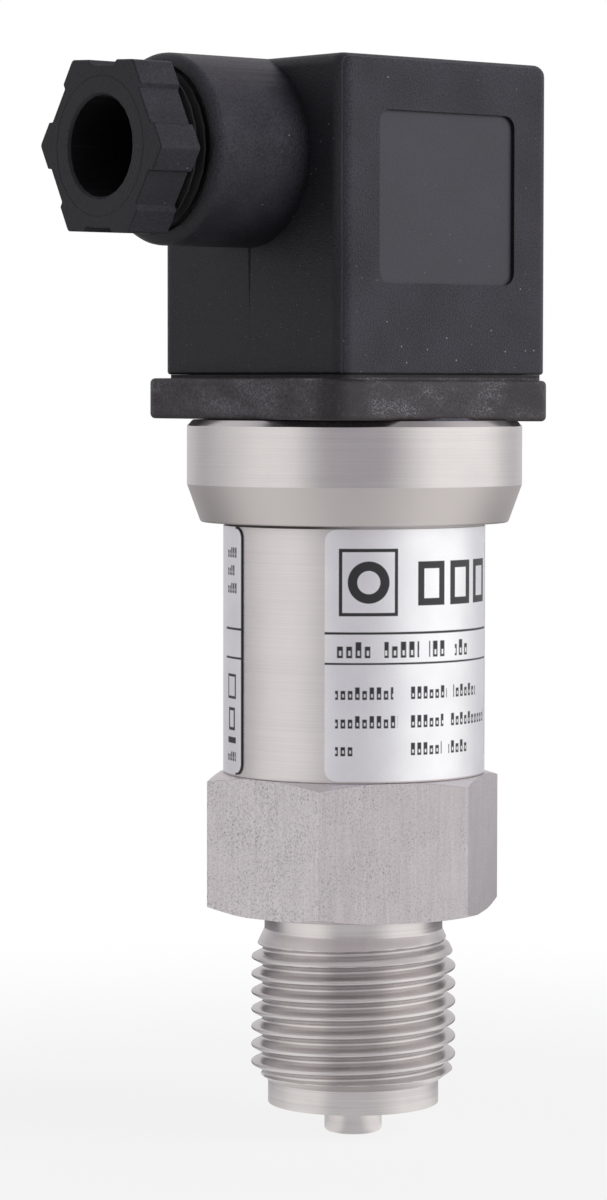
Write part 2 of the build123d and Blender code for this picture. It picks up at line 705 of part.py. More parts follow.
def socket_contact():
    """One female contact at +X: a sleeve for the blade under a screw clamp."""
    reach = SOCKET_ROOM + SOCKET_WALL
    half = SOCKET_HALF + SOCKET_WALL
    clamp_half = CLAMP_W / 2
    sleeve_top = CLAMP_FLOOR + SOCKET_WALL
    shape = block((BLADE_OUT - reach, BLADE_OUT + reach), (-half, half), (SOCKET_LOW, sleeve_top))
    shape += block((CLAMP_IN, CLAMP_OUT), (-clamp_half, clamp_half), (CLAMP_FLOOR, CLAMP_TOP))
    shape -= block(
        (BLADE_OUT - SOCKET_ROOM, BLADE_OUT + SOCKET_ROOM),
        (-SOCKET_HALF, SOCKET_HALF),
        (SOCKET_LOW - PAST, SOCKET_ROOM_TOP),
    )
    shape -= Pos(CLAMP_SCREW_OUT, 0, 0) * cyl(
        CLAMP_SCREW_R + CLEAR, CLAMP_TOP - CLAMP_SCREW_LEN - SLIP, CLAMP_TOP + PAST
    )
    wire = CLAMP_WIRE / 2
    wire_z = CLAMP_TOP - CLAMP_WIRE_DROP
    return shape - block((CLAMP_IN - PAST, CLAMP_SCREW_OUT), (-wire, wire), (wire_z - wire, wire_z + wire))


def terminal_screw():
    """One slotted clamp screw at +X, its thread drawn plain."""
    low = CLAMP_TOP + SOLDER_GAP
    high = low + CLAMP_HEAD_H
    shape = cyl(CLAMP_SCREW_R, CLAMP_TOP - CLAMP_SCREW_LEN, low + CLAMP_HEAD_H / 2)
    shape += cyl(CLAMP_HEAD_R, low, high)
    half = CLAMP_SLOT / 2
    shape -= block((-CLAMP_W, CLAMP_W), (-half, half), (high - CLAMP_SLOT, high + PAST))
    return Pos(CLAMP_SCREW_OUT, 0, 0) * shape


def contact_block():
    """The insulating block that holds the sockets and guides the centre screw."""
    shape = rounded_post(BLOCK_HALF, BLOCK_HALF, BLOCK_LOW, BLOCK_HIGH, BLOCK_CORNER)
    shape += cyl(COLUMN_R, BLOCK_HIGH - PAST, COLUMN_TOP)
    shape -= cyl(SEAT_HOLE_R, BLOCK_LOW - PAST, COLUMN_TOP + PAST)
    reach = SOCKET_ROOM + SOCKET_WALL + POCKET_GAP
    half = SOCKET_HALF + SOCKET_WALL + POCKET_GAP
    clamp_half = CLAMP_W / 2 + POCKET_GAP
    sleeve = block(
        (BLADE_OUT - reach, BLADE_OUT + reach), (-half, half), (SOCKET_LOW, BLOCK_HIGH + PAST)
    )
    entry = block(
        (BLADE_OUT - SOCKET_ROOM - SLIP, BLADE_OUT + SOCKET_ROOM + SLIP),
        (-SOCKET_HALF - SLIP, SOCKET_HALF + SLIP),
        (BLOCK_LOW - PAST, SOCKET_LOW + PAST),
    )
    clamp = block(
        (CLAMP_IN - POCKET_GAP, CLAMP_OUT + POCKET_GAP),
        (-clamp_half, clamp_half),
        (CLAMP_FLOOR, BLOCK_HIGH + PAST),
    )
    for cutter in at_blades(sleeve + clamp + entry):
        shape -= cutter
    return shape


def centre_screw():
    """The long slotted screw that holds the plug on the device."""
    shape = cyl(SCREW_R, SCREW_TIP, SCREW_HEAD_LOW + SCREW_HEAD_H / 2)
    shape = chamfer(shape.edges().group_by(Axis.Z)[0], SCREW_TIP_BEVEL)
    head = cyl(SCREW_HEAD_R, SCREW_HEAD_LOW, SCREW_HEAD_HIGH)
    shape += chamfer(head.edges().group_by(Axis.Z)[-1], SCREW_HEAD_EDGE)
    half = SCREW_SLOT_W / 2
    floor = SCREW_HEAD_HIGH - SCREW_SLOT_DEPTH
    return shape - block((-SEAT_R, SEAT_R), (-half, half), (floor, SCREW_HEAD_HIGH + PAST))


def screw_seal():
    """The rubber ring under the centre screw's head."""
    return ring(SCREW_SEAL_R, SCREW_BORE, SEAT_Z + CLEAR, SCREW_HEAD_LOW - CLEAR)


def gland_head():
    """The gland screw's hexagon, with a shallow recess along the middle of each flat."""
    outline = RegularPolygon(GLAND_AF / 2, 6, major_radius=False, rotation=30)
    outline = fillet(outline.vertices(), GLAND_CORNER)
    head = extrude(Plane.XY.offset(GLAND_HEX_BACK) * outline, GLAND_HEX_LEN)
    half = GLAND_AF / math.sqrt(3) * GLAND_FLAT_SHARE / 2
    flat = GLAND_AF / 2
    cut = block(
        (flat - GLAND_FLAT_CUT, flat + PAST),
        (-half, half),
        (GLAND_HEX_BACK - PAST, GLAND_FACE + PAST),
    )
    for k in range(6):
        head -= Rot(0, 0, 60 * k) * cut
    head -= ring(GLAND_RING_R + GLAND_RING_W, GLAND_RING_R, GLAND_FACE - GLAND_RING_W, GLAND_FACE + PAST)
    return Rot(0, 0, GLAND_TURN) * head


def gland_screw():
    """The hollow gland screw: a recessed hexagon with a stem drawn without its thread."""
    shape = gland_head() + cyl(GLAND_THREAD_R, GLAND_STEM_END, GLAND_HEX_BACK + PAST)
    shape -= cyl(GLAND_BORE_R, GLAND_STEM_END - PAST, GLAND_FACE + PAST)
    mouth = turned(
        [
            (0, GLAND_FACE - GLAND_MOUTH),
            (GLAND_BORE_R, GLAND_FACE - GLAND_MOUTH),
            (GLAND_BORE_R + GLAND_MOUTH + PAST, GLAND_FACE + PAST),
            (0, GLAND_FACE + PAST),
        ]
    )
    return along_gland(shape - mouth)


def gland_washer():
    """The thrust washer between the gland screw and the rubber seal."""
    return along_gland(ring(WASHER_R, WASHER_BORE_R, WASHER_NEAR, WASHER_FAR))


def gland_seal():
    """The rubber sleeve that grips the cable, bevelled at its outer end."""
    lip = SEAL_BEVEL / 2
    shape = turned(
        [
            (SEAL_BORE_R, SEAL_ROOM_NEAR),
            (SEAL_R, SEAL_ROOM_NEAR),
            (SEAL_R, SEAL_FACE - SEAL_BEVEL),
            (SEAL_R - SEAL_BEVEL, SEAL_FACE),
            (SEAL_BORE_R + lip, SEAL_FACE),
            (SEAL_BORE_R, SEAL_FACE - lip),
        ]
    )
    return along_gland(shape)


save(process_connection(), "process_connection")
save(squeezed_ring(CELL_SEAL_R, CELL_SEAL_W, CELL_SEAT - CELL_SEAL_H, CELL_SEAL_H), "cell_seal")
save(sensor_cell(), "sensor_cell")
save(sensor_ring(), "sensor_ring")
save(housing_tube(), "housing_tube")
save(collar(), "collar")
save(type_label(), "type_label")
save(circuit_board(), "circuit_board")
save(board_parts(), "board_parts")
save(sensor_flex(), "sensor_flex")
save(plug_leads(), "plug_leads")
save(contact_carrier(), "contact_carrier")
save(carrier_seal(), "carrier_seal")
save(at_blades(blade(0))[1:], "contact_blades")
save(blade(EARTH_EXTRA), "earth_blade")
save(screw_bush(), "screw_bush")
save(gasket_plate(), "gasket_plate")
save(plug_hood(), "plug_hood")
save(contact_block(), "contact_block")
save(at_blades(socket_contact()), "socket_contacts")
save(at_blades(terminal_screw()), "terminal_screws")
save(centre_screw(), "centre_screw")
save(screw_seal(), "screw_seal")
save(gland_screw(), "gland_screw")
save(gland_washer(), "gland_washer")
save(gland_seal(), "gland_seal")
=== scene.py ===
"""Looks of the pressure transmitter, in metres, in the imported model's own frame.

Sizes are written in millimetres and multiplied by MM. Headings are degrees about +Z from +X.
"""

import math

import bpy
from mathutils import Matrix, Vector


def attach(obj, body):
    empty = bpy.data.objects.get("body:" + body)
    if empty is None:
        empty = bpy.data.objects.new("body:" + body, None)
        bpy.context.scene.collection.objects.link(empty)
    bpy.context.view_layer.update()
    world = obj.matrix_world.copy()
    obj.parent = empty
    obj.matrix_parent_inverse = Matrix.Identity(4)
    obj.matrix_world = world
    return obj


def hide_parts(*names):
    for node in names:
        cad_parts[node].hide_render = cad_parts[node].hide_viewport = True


MM = 0.001
COLUMNS = 180  # facets round a turned piece
ARC_STEPS = 5  # facets in a rounded corner
AXIS_R = 0.01  # radius at which a solid turned tool starts and ends

# Process end
PIN_R = 2.95
PIN_LOW = -3.0
PIN_EDGE = 0.45
CHANNEL_R = 1.75
CHANNEL_MOUTH = (2.1, -2.6)  # radius and depth of the channel's countersink
CELL_SEAT = 26.0
CELL_CHAMBER_R = 9.1
RING_SEAT = 29.675
RING_R = 10.0
BOSS_TOP = 38.0
THREAD_R = 10.4775
THREAD_ROOT_R = 9.3155
THREAD_PITCH = 1.814
THREAD_CREST_Z = 4.60
THREAD_HALF_ANGLE = math.radians(27.5)
THREAD_ROUND = 0.1373 * THREAD_PITCH  # radius of its rounded crests and roots
THREAD_RUN_OUT = 0.16  # width over which the groove runs out at either end
THREAD_ROWS = 232
SPIGOT_R = 8.75
SPIGOT_TOP = 2.4
LEAD_IN = 0.75  # rise of the lead-in for each mm outwards
NECK_R = 9.13
NECK_LOW = 18.0
NECK_SLOPE = 0.46
NECK_CONE = 0.3  # height of the neck's cone over the thread's wall
SHOULDER = 20.0
SHOULDER_R = NECK_R + 0.5  # where the hexagon's underside starts
HEX_AF = 27.0
HEX_TOP = 34.0
HEX_TURN = 36.0
HEX_BEVEL = 0.62
HEX_BEVEL_SLOPE = math.tan(math.radians(18))

# Body
TUBE_R = 13.25
TUBE_BORE = 11.75
TUBE_TOP = 67.0
LABEL_R = 13.40
LABEL_LOW = 34.25
LABEL_HIGH = 59.30
LABEL_START = 216.2
LABEL_SPAN = 315.2
LABEL_CORNER = 1.2
LABEL_T = 0.13
LABEL_COLUMNS = 150

# Plain marks on the label: left and right end in degrees to the right of the camera's
# heading, then heights and strokes in mm
LABEL_END = -57.4  # the label's right-hand end
LABEL_BARS = (  # foot and head
    (-20.0, 82.0, 48.88, 49.12),
    (-20.0, 82.0, 45.87, 46.07),
    (-75.0, -57.5, 48.88, 49.1),
    (-75.0, -57.5, 45.95, 46.15),
    (81.6, 82.4, 36.0, 57.6),
    (-72.0, -63.0, 37.4, 38.0),
)
LABEL_FRAMES = (  # foot, head and stroke
    (-6.5, 19.0, 50.7, 57.4, 0.34),
    (28.4, 42.4, 51.7, 56.1, 0.72),
    (45.9, 59.9, 51.7, 56.1, 0.72),
    (63.4, 77.4, 51.7, 56.1, 0.72),
    (-72.0, -63.0, 41.9, 44.4, 0.26),
    (-71.0, -64.0, 38.7, 41.0, 0.3),
)
LABEL_DISC = (6.25, 54.05)  # middle of the ring
LABEL_DISC_R = (1.15, 2.1)
LABEL_BLOCKS = (  # foot, pitch and height of a row of small blocks, then its runs' ends
    (46.55, 0.92, 1.6, ((-8.0, 7.0), (13.0, 29.0), (34.0, 43.0), (49.0, 58.0))),
    (42.4, 0.72, 1.25, ((-8.0, 17.0), (24.6, 44.0), (48.0, 66.0))),
    (39.55, 0.72, 1.25, ((-8.0, 19.0), (24.6, 42.0), (46.0, 78.0))),
    (36.8, 0.72, 1.25, ((-8.0, 0.0), (24.6, 41.0), (45.0, 58.0))),
    (56.2, 0.5, 1.0, ((-73.0, -62.0),)),
    (54.4, 0.5, 1.0, ((-73.0, -64.0),)),
    (52.6, 0.5, 1.0, ((-73.0, -62.0),)),
    (35.6, 0.5, 0.9, ((-73.0, -63.0),)),
)

# Collar and gasket
COLLAR_R = 17.095
COLLAR_BORE = 13.30
COLLAR_FOOT_R = 15.70
COLLAR_SEAT_R = 15.05
COLLAR_LOW = 59.65
COLLAR_TOP = 70.05
COLLAR_BEVEL = 0.6
TAPER_TOP = 63.5
GASKET_HALF = 14.95
GASKET_SHIFT = -0.95  # of its middle along X
GASKET_LOW = 70.15
GASKET_HIGH = 74.25
GASKET_SAG = {  # towards the camera's right: where it starts, its width and its depth
    "head": (-3.7, 3.2, 0.2),
    "foot": (13.0, 7.0, 0.25),
}
WINDOW_HALF = 11.05
BEAD_HALF = (13.7, 12.9)  # outer and inner

# Plug
HOOD_HALF = 14.0
HOOD_LOW = 74.63
HOOD_HIGH = 105.9
HOOD_WALL = 2.0
PANEL_HALF = 9.05
PANEL_LOW = 83.6
PANEL_HIGH = 100.55
PANEL_DEPTH = 0.4
SCREW_SEAT = (5.1, 100.7, 104.9)  # radius, foot and head, as for the next two
SCREW_BORE = (3.7, 102.5, 107.0)
SCREW_HOLE = (1.95, 99.0, 103.0)
GLAND_Z = 96.6
BARREL_R = 9.4
BARREL_START = 2.0
BARREL_END = 25.9
WAY_R = 5.2  # of the cable's way from the barrel into the hood
SEAL_SEAT = (7.0, 13.2)  # radius and distance from the body's axis, as for the next two
STEM_BORE = (8.05, 19.0)
STEM_MOUTH = (8.45, BARREL_END + 0.1)
GLAND_BORE = 4.9
GLAND_LIP = 0.25
GLAND_STEM_R = 8.0
GLAND_HEX_HALF = 8.3
GLAND_HEX_BACK = 27.9
GLAND_FACE = 32.8
GLAND_TURN = 27.4  # degrees that the hexagon stands turned in its barrel

# Camera, as the photograph was taken
VIEW_HEADING = 228.767  # heading from which the camera looks at the axis
CAMERA_RANGE = 421.785
CAMERA_HEIGHT = 73.81
CAMERA_PITCH = math.radians(3.012)
CAMERA_YAW = math.radians(-0.703)
CAMERA_ROLL = math.radians(0.083)
CAMERA_LENS = 123.902
FLOOR_Z = PIN_LOW


def fresh():
    """Leave nothing selected, so that an operator works only on the next piece."""
    bpy.ops.object.select_all(action="DESELECT")


def take(piece):
    """Make one piece the only selected one, and the active one."""
    fresh()
    piece.select_set(True)
    bpy.context.view_layer.objects.active = piece


def shape_all(piece, *steps):
    """Run edit mode operators on the whole of one piece."""
    take(piece)
    bpy.ops.object.mode_set(mode="EDIT")
    bpy.ops.mesh.select_all(action="SELECT")
    for step in steps:
        step()
    bpy.ops.object.mode_set(mode="OBJECT")


def close_up(piece):
    """Merge doubled points and turn every face outwards."""
    shape_all(
        piece,
        lambda: bpy.ops.mesh.remove_doubles(threshold=2e-6),
        lambda: bpy.ops.mesh.normals_make_consistent(inside=False),
    )


def settle(piece):
    """Put a piece's place into its mesh."""
    take(piece)
    bpy.ops.object.transform_apply(location=True, rotation=True, scale=True)


def modify(piece, kind, **settings):
    """Add one modifier and apply it."""
    modifier = piece.modifiers.new(kind.title(), kind)
    for key, value in settings.items():
        setattr(modifier, key, value)
    take(piece)
    bpy.ops.object.modifier_apply(modifier=modifier.name)


def smooth(piece, angle):
    """Smooth shading, with edges kept where the faces turn by more than an angle."""
    take(piece)
    bpy.ops.object.shade_smooth_by_angle(angle=math.radians(angle))


def shade(piece, angle):
    """Smooth shading weighed by area, so that the flats stay flat."""
    smooth(piece, angle)
    modify(piece, "WEIGHTED_NORMAL", keep_sharp=True, weight=80)


def ease(piece, width, angle):
    """Round all edges of a piece that are sharper than an angle, then shade it."""
    modify(
        piece,
        "BEVEL",
        width=width * MM,
        segments=2,
        limit_method="ANGLE",
        angle_limit=math.radians(angle),
        use_clamp_overlap=True,
    )
    shade(piece, 50)


def carve(piece, tool, operation="DIFFERENCE"):
    """Cut one piece with another, or join them, and throw the tool away."""
    modify(piece, "BOOLEAN", object=tool, operation=operation, solver="EXACT")
    bpy.data.objects.remove(tool, do_unlink=True)


def join(pieces):
    """Make one mesh of several pieces; the first keeps its name."""
    fresh()
    for piece in pieces:
        piece.select_set(True)
    bpy.context.view_layer.objects.active = pieces[0]
    bpy.ops.object.join()
    return pieces[0]


def softened(profile):
    """Profile points, with an arc at each corner that has a third number, its rounding."""
    points = []
    for i, corner in enumerate(profile):
        here = Vector(corner[:2])
        if len(corner) < 3:
            points.append(here)
            continue
        back = (Vector(profile[i - 1][:2]) - here).normalized()
        ahead = (Vector(profile[(i + 1) % len(profile)][:2]) - here).normalized()
        half = back.angle(ahead) / 2
        reach = corner[2] / math.tan(half)
        centre = here + (back + ahead).normalized() * (corner[2] / math.sin(half))
        start = here + back * reach - centre
        end = here + ahead * reach - centre
        for k in range(ARC_STEPS + 1):
            arm = start.lerp(end, k / ARC_STEPS).normalized() * corner[2]
            points.append(centre + arm)
    return points


def turned(name, profile, closed=True):
    """Turn a piece about Z: a ring is extruded and widened from point to point."""
    points = softened(profile)
    if closed:
        points.append(points[0])
    fresh()
    radius, height = points[0]
    bpy.ops.mesh.primitive_circle_add(
        vertices=COLUMNS, radius=radius * MM, location=(0, 0, height * MM)
    )
    piece = bpy.context.object
    piece.name = name
    bpy.ops.object.mode_set(mode="EDIT")
    bpy.ops.mesh.select_all(action="SELECT")
    for next_radius, next_height in points[1:]:
        rise = (0, 0, (next_height - height) * MM)
        widen = next_radius / radius
        bpy.ops.mesh.extrude_region_move(TRANSFORM_OT_translate={"value": rise})
        bpy.ops.transform.resize(
            value=(widen, widen, 1), center_override=(0, 0, next_height * MM)
        )
        radius, height = next_radius, next_height
    bpy.ops.object.mode_set(mode="OBJECT")
    settle(piece)
    close_up(piece)
    return piece


def rod(name, radius, low, high):
    """A plain rod about Z, to cut or to build with."""
    profile = [(AXIS_R, low), (radius, low), (radius, high), (AXIS_R, high)]
    return turned(name, profile, closed=False)


def wrapped(name, columns, rows, place):
    """Wrap a grid round an axis: each point goes where place(column, row) puts it, in mm."""
    fresh()
    bpy.ops.mesh.primitive_grid_add(x_subdivisions=columns, y_subdivisions=rows - 1, size=2)
    piece = bpy.context.object
    piece.name = name
    for vertex in piece.data.vertices:
        column = round((vertex.co.x + 1) / 2 * columns) % columns
        row = round((vertex.co.y + 1) / 2 * (rows - 1))
        vertex.co = Vector(place(column, row)) * MM
    close_up(piece)
    return piece


def box(name, x_range, y_range, z_range):
    """A box between two limits along each axis, in mm, to be cut and eased further."""
    fresh()
    middle = [(a + b) / 2 * MM for a, b in (x_range, y_range, z_range)]
    bpy.ops.mesh.primitive_cube_add(size=1, location=middle)
    piece = bpy.context.object
    piece.name = name
    piece.scale = [(b - a) * MM for a, b in (x_range, y_range, z_range)]
    settle(piece)
    return piece


def round_edges(piece, wanted, width, segments=6):
    """Round the edges of one piece that a test on their two ends picks out."""
    take(piece)
    bpy.ops.object.mode_set(mode="EDIT")
    bpy.ops.mesh.select_mode(type="EDGE")
    bpy.ops.mesh.select_all(action="DESELECT")
    bpy.ops.object.mode_set(mode="OBJECT")
    spots = [vertex.co / MM for vertex in piece.data.vertices]
    for edge in piece.data.edges:
        a, b = (spots[k] for k in edge.vertices)
        edge.select = wanted(a, b)
    bpy.ops.object.mode_set(mode="EDIT")
    bpy.ops.mesh.bevel(offset=width * MM, segments=segments, affect="EDGES")
    bpy.ops.mesh.select_mode(type="VERT")
    bpy.ops.object.mode_set(mode="OBJECT")


def polar(radius, heading, height):
    """A point from its distance from the axis, its heading and its height."""
    angle = math.radians(heading)
    return radius * math.cos(angle), radius * math.sin(angle), height


def upright(a, b):
    """Whether an edge runs along Z."""
    return (a - b).to_2d().length < 0.01 < abs(a.z - b.z)


def level_at(height):
    """A test for edges that lie at one height."""
    return lambda a, b: abs(a.z - height) < 0.01 and abs(b.z - height) < 0.01


def along_gland(piece):
    """Lay a piece made about Z so that its Z runs out of the gland, from the body's axis."""
    turn = Matrix.Rotation(math.radians(-90), 4, "Y")
    piece.data.transform(Matrix.Translation((0, 0, GLAND_Z * MM)) @ turn)
    return piece


class Value:
    """One value in a material. An expression on values adds its Math nodes."""

    def __init__(self, finish, socket):
        self.finish = finish
        self.socket = socket

    def math(self, operation, *others):
        inputs = dict(enumerate((self, *others)))
        return self.finish.value("ShaderNodeMath", 0, {"operation": operation}, inputs)

    def __add__(self, other):
        return self.math("ADD", other)

    def __sub__(self, other):
        return self.math("SUBTRACT", other)

    def __rsub__(self, other):
        return -self + other

    def __mul__(self, other):
        return self.math("MULTIPLY", other)

    def __truediv__(self, other):
        return self.math("DIVIDE", other)

    def __neg__(self):
        return self.math("MULTIPLY", -1.0)

    def __pow__(self, other):
        return self.math("POWER", other)

    def __abs__(self):
        return self.math("ABSOLUTE")

    __radd__ = __add__
    __rmul__ = __mul__

    def step(self, low, high):
        """A soft step from 0 at low to 1 at high; low may be the larger one."""
        settings = {"interpolation_type": "SMOOTHSTEP"}
        inputs = {0: self, 1: low, 2: high, 3: 0.0, 4: 1.0}
        if low > high:
            inputs = {0: self, 1: high, 2: low, 3: 1.0, 4: 0.0}
        return self.finish.value("ShaderNodeMapRange", 0, settings, inputs)

    def within(self, low, high, soft):
        """1 between two limits and 0 outside, with soft edges."""
        return self.step(low - soft, low + soft) * self.step(high + soft, high - soft)


class Finish:
    """A node material, with its coordinates in millimetres."""

    def __init__(self, name, tree=None):
        if tree is None:
            self.material = bpy.data.materials.new(name)
            self.material.use_nodes = True
            tree = self.material.node_tree
        self.tree = tree

    def node(self, kind, settings=None, inputs=None):
        """Any node, from its settings and the values or links of its sockets."""
        node = self.tree.nodes.new(kind)
        for key, value in (settings or {}).items():
            setattr(node, key, value)
        return self.fill(node, inputs or {})

    def fill(self, node, inputs):
        """Link or set the sockets of a node."""
        for key, value in inputs.items():
            if isinstance(value, Value):
                self.tree.links.new(value.socket, node.inputs[key])
            elif value is not None:
                node.inputs[key].default_value = value
        return node

    def value(self, kind, output, settings=None, inputs=None):
        """One output of a new node."""
        return Value(self, self.node(kind, settings, inputs).outputs[output])

    def split(self, kind, whole):
        """The parts of a vector or a colour."""
        return [Value(self, socket) for socket in self.node(kind, None, {0: whole}).outputs]

    def place(self):
        """Object coordinates in mm, whole and as x, y and z."""
        raw = self.value("ShaderNodeTexCoord", "Object")
        inputs = {0: raw, 1: (1 / MM, 1 / MM, 1 / MM)}
        spot = self.value("ShaderNodeVectorMath", 0, {"operation": "MULTIPLY"}, inputs)
        return spot, *self.split("ShaderNodeSeparateXYZ", spot)

    def vector(self, x, y, z):
        """A vector from three values."""
        return self.value("ShaderNodeCombineXYZ", 0, None, {0: x, 1: y, 2: z})

    def noise(self, vector, scale, detail=2.0, rough=0.5):
        """Soft noise between 0 and 1, its grain 1 / scale mm."""
        inputs = {"Vector": vector, "Scale": scale, "Detail": detail, "Roughness": rough}
        return self.value("ShaderNodeTexNoise", 0, None, inputs)

    def cells(self, vector, scale, output="Distance"):
        """Voronoi cells, scale to the mm."""
        inputs = {"Vector": vector, "Scale": scale}
        return self.value("ShaderNodeTexVoronoi", output, None, inputs)

    def mix(self, factor, first, second):
        """A colour between two colours."""
        inputs = {0: factor, 6: first, 7: second}
        return self.value("ShaderNodeMix", 2, {"data_type": "RGBA"}, inputs)

    def bump(self, height, depth):
        """A normal from a height between 0 and 1 that stands for a depth in mm."""
        inputs = {"Strength": 1.0, "Distance": depth * MM, "Height": height}
        return self.value("ShaderNodeBump", 0, None, inputs)

    def surface(self, color, roughness, normal, **others):
        """Set the Principled shader, any of its other sockets by name."""
        wanted = {"Base Color": color, "Roughness": roughness, "Normal": normal}
        wanted.update({key.replace("_", " "): value for key, value in others.items()})
        self.fill(self.tree.nodes["Principled BSDF"], wanted)
        return self.material


def grey(level, warm=0.0, cool=0.0):
    """A grey as a colour, its red and its blue raised by a share of the level."""
    return (level * (1 + warm), level, level * (1 + cool), 1.0)


def view_axes(x, y):
    """Distance towards the camera and to its right, from coordinates in the plan."""
    heading = math.radians(VIEW_HEADING)
    c, s = math.cos(heading), math.sin(heading)
    return x * c + y * s, y * c - x * s


def turned_steel(
    name, light, dark, rough, rings=9.0, depth=0.006, broad_share=0.3, extra=None
):
    """Bright turned steel: fine rings round the axis, a few of them deeper."""
    finish = Finish(name)
    _, x, y, z = finish.place()
    radius = (x * x + y * y) ** 0.5
    along = z + radius
    fine = finish.noise(finish.vector(x * 0.05, y * 0.05, along * rings), 1.0, 3.0, 0.6)
    broad = finish.noise(finish.vector(x * 0.03, y * 0.03, along * 1.3), 1.0, 2.0)
    smear = finish.noise(finish.vector(x * 0.25, y * 0.25, along * 0.2), 1.0, 2.0)
    tone = (fine * (0.7 - broad_share) + broad * broad_share + smear * 0.3).step(0.3, 0.7)
    normal = finish.bump(fine * (1 - broad_share) + broad * broad_share, depth)
    roughness = fine * 0.1 + smear * 0.06 + (rough - 0.08)
    color = finish.mix(tone, grey(dark, 0.04, 0.01), grey(light, 0.035, -0.01))
    if extra:
        color, roughness = extra(finish, (x, y, z), color, roughness)
    return finish.surface(color, roughness, normal, Metallic=1.0)


def matt_taper(finish, places, color, roughness):
    """The collar's taper is duller than its rim."""
    below = places[2].step(TAPER_TOP + 0.03, TAPER_TOP - 0.05)
    color = finish.mix(below * 0.8, color, grey(0.52, 0.06, -0.02))
    return color, roughness + below * 0.24


def painted_collar_shade(finish, places, color, roughness):
    """Painted shade on the tube along the seam under the collar, most of it away from the
    label.
    """
    x, y, z = places
    across = view_axes(x, y)[1]
    # Painted shade: a dark band right under the collar, stronger on the camera's left.
    collar_shade_line = z.within(LABEL_HIGH, COLLAR_LOW + 0.1, 0.03)
    collar_shade_line = collar_shade_line * (across.step(2.0, -5.0) * 0.7 + 0.3)
    color = finish.mix(collar_shade_line * 0.93, color, (0.035, 0.026, 0.024, 1.0))
    return color, roughness + collar_shade_line * 0.2


def pitted_steel():
    """The hexagon's matt drawn steel: draw lines, fine dark pits, and turned bevels painted
    near white, partly their brighter turned finish and partly a painted highlight.
    """
    finish = Finish("hexagon_drawn_steel")
    spot, x, y, z = finish.place()
    grain = finish.noise(spot, 5.0, 4.0, 0.65)
    cloud = finish.noise(spot, 0.35, 3.0)
    lines = finish.noise(finish.vector(x * 3.0, y * 3.0, z * 0.12), 1.0, 3.0)
    across = view_axes(x, y)[1]
    patch = finish.noise(spot, 0.3, 2.0).step(0.3, 0.7) * 0.6 + across.step(9.0, -9.0) * 0.4
    fine = finish.cells(spot, 4.0) - (patch * 0.22 + 0.18)
    coarse = finish.cells(spot, 2.5) - (patch * 0.2 + 0.08)
    pits = (1 - fine.step(-0.06, 0.08)) * 0.5 + (1 - coarse.step(-0.04, 0.06)) * 0.6
    pits = pits.math("MINIMUM", 1.0) * (grain.step(0.3, 0.6) * 0.6 + 0.4)
    tone = (grain * 0.55 + cloud * 0.15 + lines * 0.3).step(0.3, 0.72)
    color = finish.mix(tone, grey(0.52, 0.05, 0.035), grey(0.68, 0.045, 0.03))
    color = finish.mix(pits * 0.62, color, grey(0.2, 0.03, 0.02))
    normals = (math.radians(HEX_TURN + 30 + 60 * k) for k in range(3))
    outward = [abs(x * math.cos(n) + y * math.sin(n)) for n in normals]
    flat = outward[0].math("MAXIMUM", outward[1]).math("MAXIMUM", outward[2])
    # Painted highlight: the bevels and ends are raised to near white, beyond the turned finish.
    bevel = flat.step(HEX_AF / 2 - 0.03, HEX_AF / 2 - 0.09)
    color = finish.mix(bevel * 0.65, color, grey(0.92, 0.04, 0.01))
    height = grain * 0.35 + lines * 0.15 - pits * 0.9
    roughness = grain * 0.14 + 0.4
    return finish.surface(color, roughness, finish.bump(height, 0.03), Metallic=1.0)


def tube_steel():
    """The tube's warm steel, ground round and round."""
    return turned_steel(
        "tube_ground_steel", 0.71, 0.62, 0.4, 15.0, 0.012, 0.1, painted_collar_shade
    )


def label_ink_and_end_shade(finish, around, z):
    """The label's plain marks and a painted shade line along its right-hand end, from the
    distance round the tube and the height in mm.
    """
    degree = LABEL_R * math.pi / 180
    soft = 0.05

    def between(start, end):
        return around.within(start * degree, end * degree, soft)

    def bar(start, end, foot, head):
        return between(start, end) * z.within(foot, head, soft)

    def open_box(start, end, foot, head, stroke):
        inset = stroke / degree
        inner = bar(start + inset, end - inset, foot + stroke, head - stroke)
        return bar(start, end, foot, head) - inner

    def blocks(foot, pitch, tall, runs):
        cell = around / pitch
        share = cell.math("FRACT")
        settings = {"noise_dimensions": "1D"}
        inputs = {"W": cell.math("FLOOR")}
        chance = finish.value("ShaderNodeTexWhiteNoise", "Value", settings, inputs)
        head = foot + tall * 0.72 + chance.step(0.5, 0.51) * (tall * 0.28)
        height = (z - foot).step(-soft, soft) * (head - z).step(-soft, soft)
        gap = (z - foot).within(0.24, tall * 0.46, soft) * share.within(0.38, 0.62, 0.09)
        run = sum(between(start, end) for start, end in runs)
        return run * share.within(0.16, 0.8, 0.09) * height * (1 - gap)

    middle, level = LABEL_DISC
    ring = ((around - middle * degree) ** 2.0 + (z - level) ** 2.0) ** 0.5
    marks = ring.within(*LABEL_DISC_R, soft)
    for make, table in ((bar, LABEL_BARS), (open_box, LABEL_FRAMES), (blocks, LABEL_BLOCKS)):
        for row in table:
            marks = marks + make(*row)
    # Painted shade: a dark line along the label's right-hand end, at its edge.
    side = (around - (LABEL_END * degree - LABEL_CORNER)).math("MAXIMUM", 0.0)
    half = (LABEL_HIGH - LABEL_LOW) / 2
    rise = abs(z - (LABEL_LOW + half)) - (half - LABEL_CORNER)
    rise = rise.math("MAXIMUM", 0.0)
    rim = ((side * side + rise * rise) ** 0.5 - LABEL_CORNER).step(-0.24, -0.16)
    marks = marks + rim * between(LABEL_END - 6, LABEL_END + 1)
    return marks.math("MINIMUM", 1.0).math("MAXIMUM", 0.0)


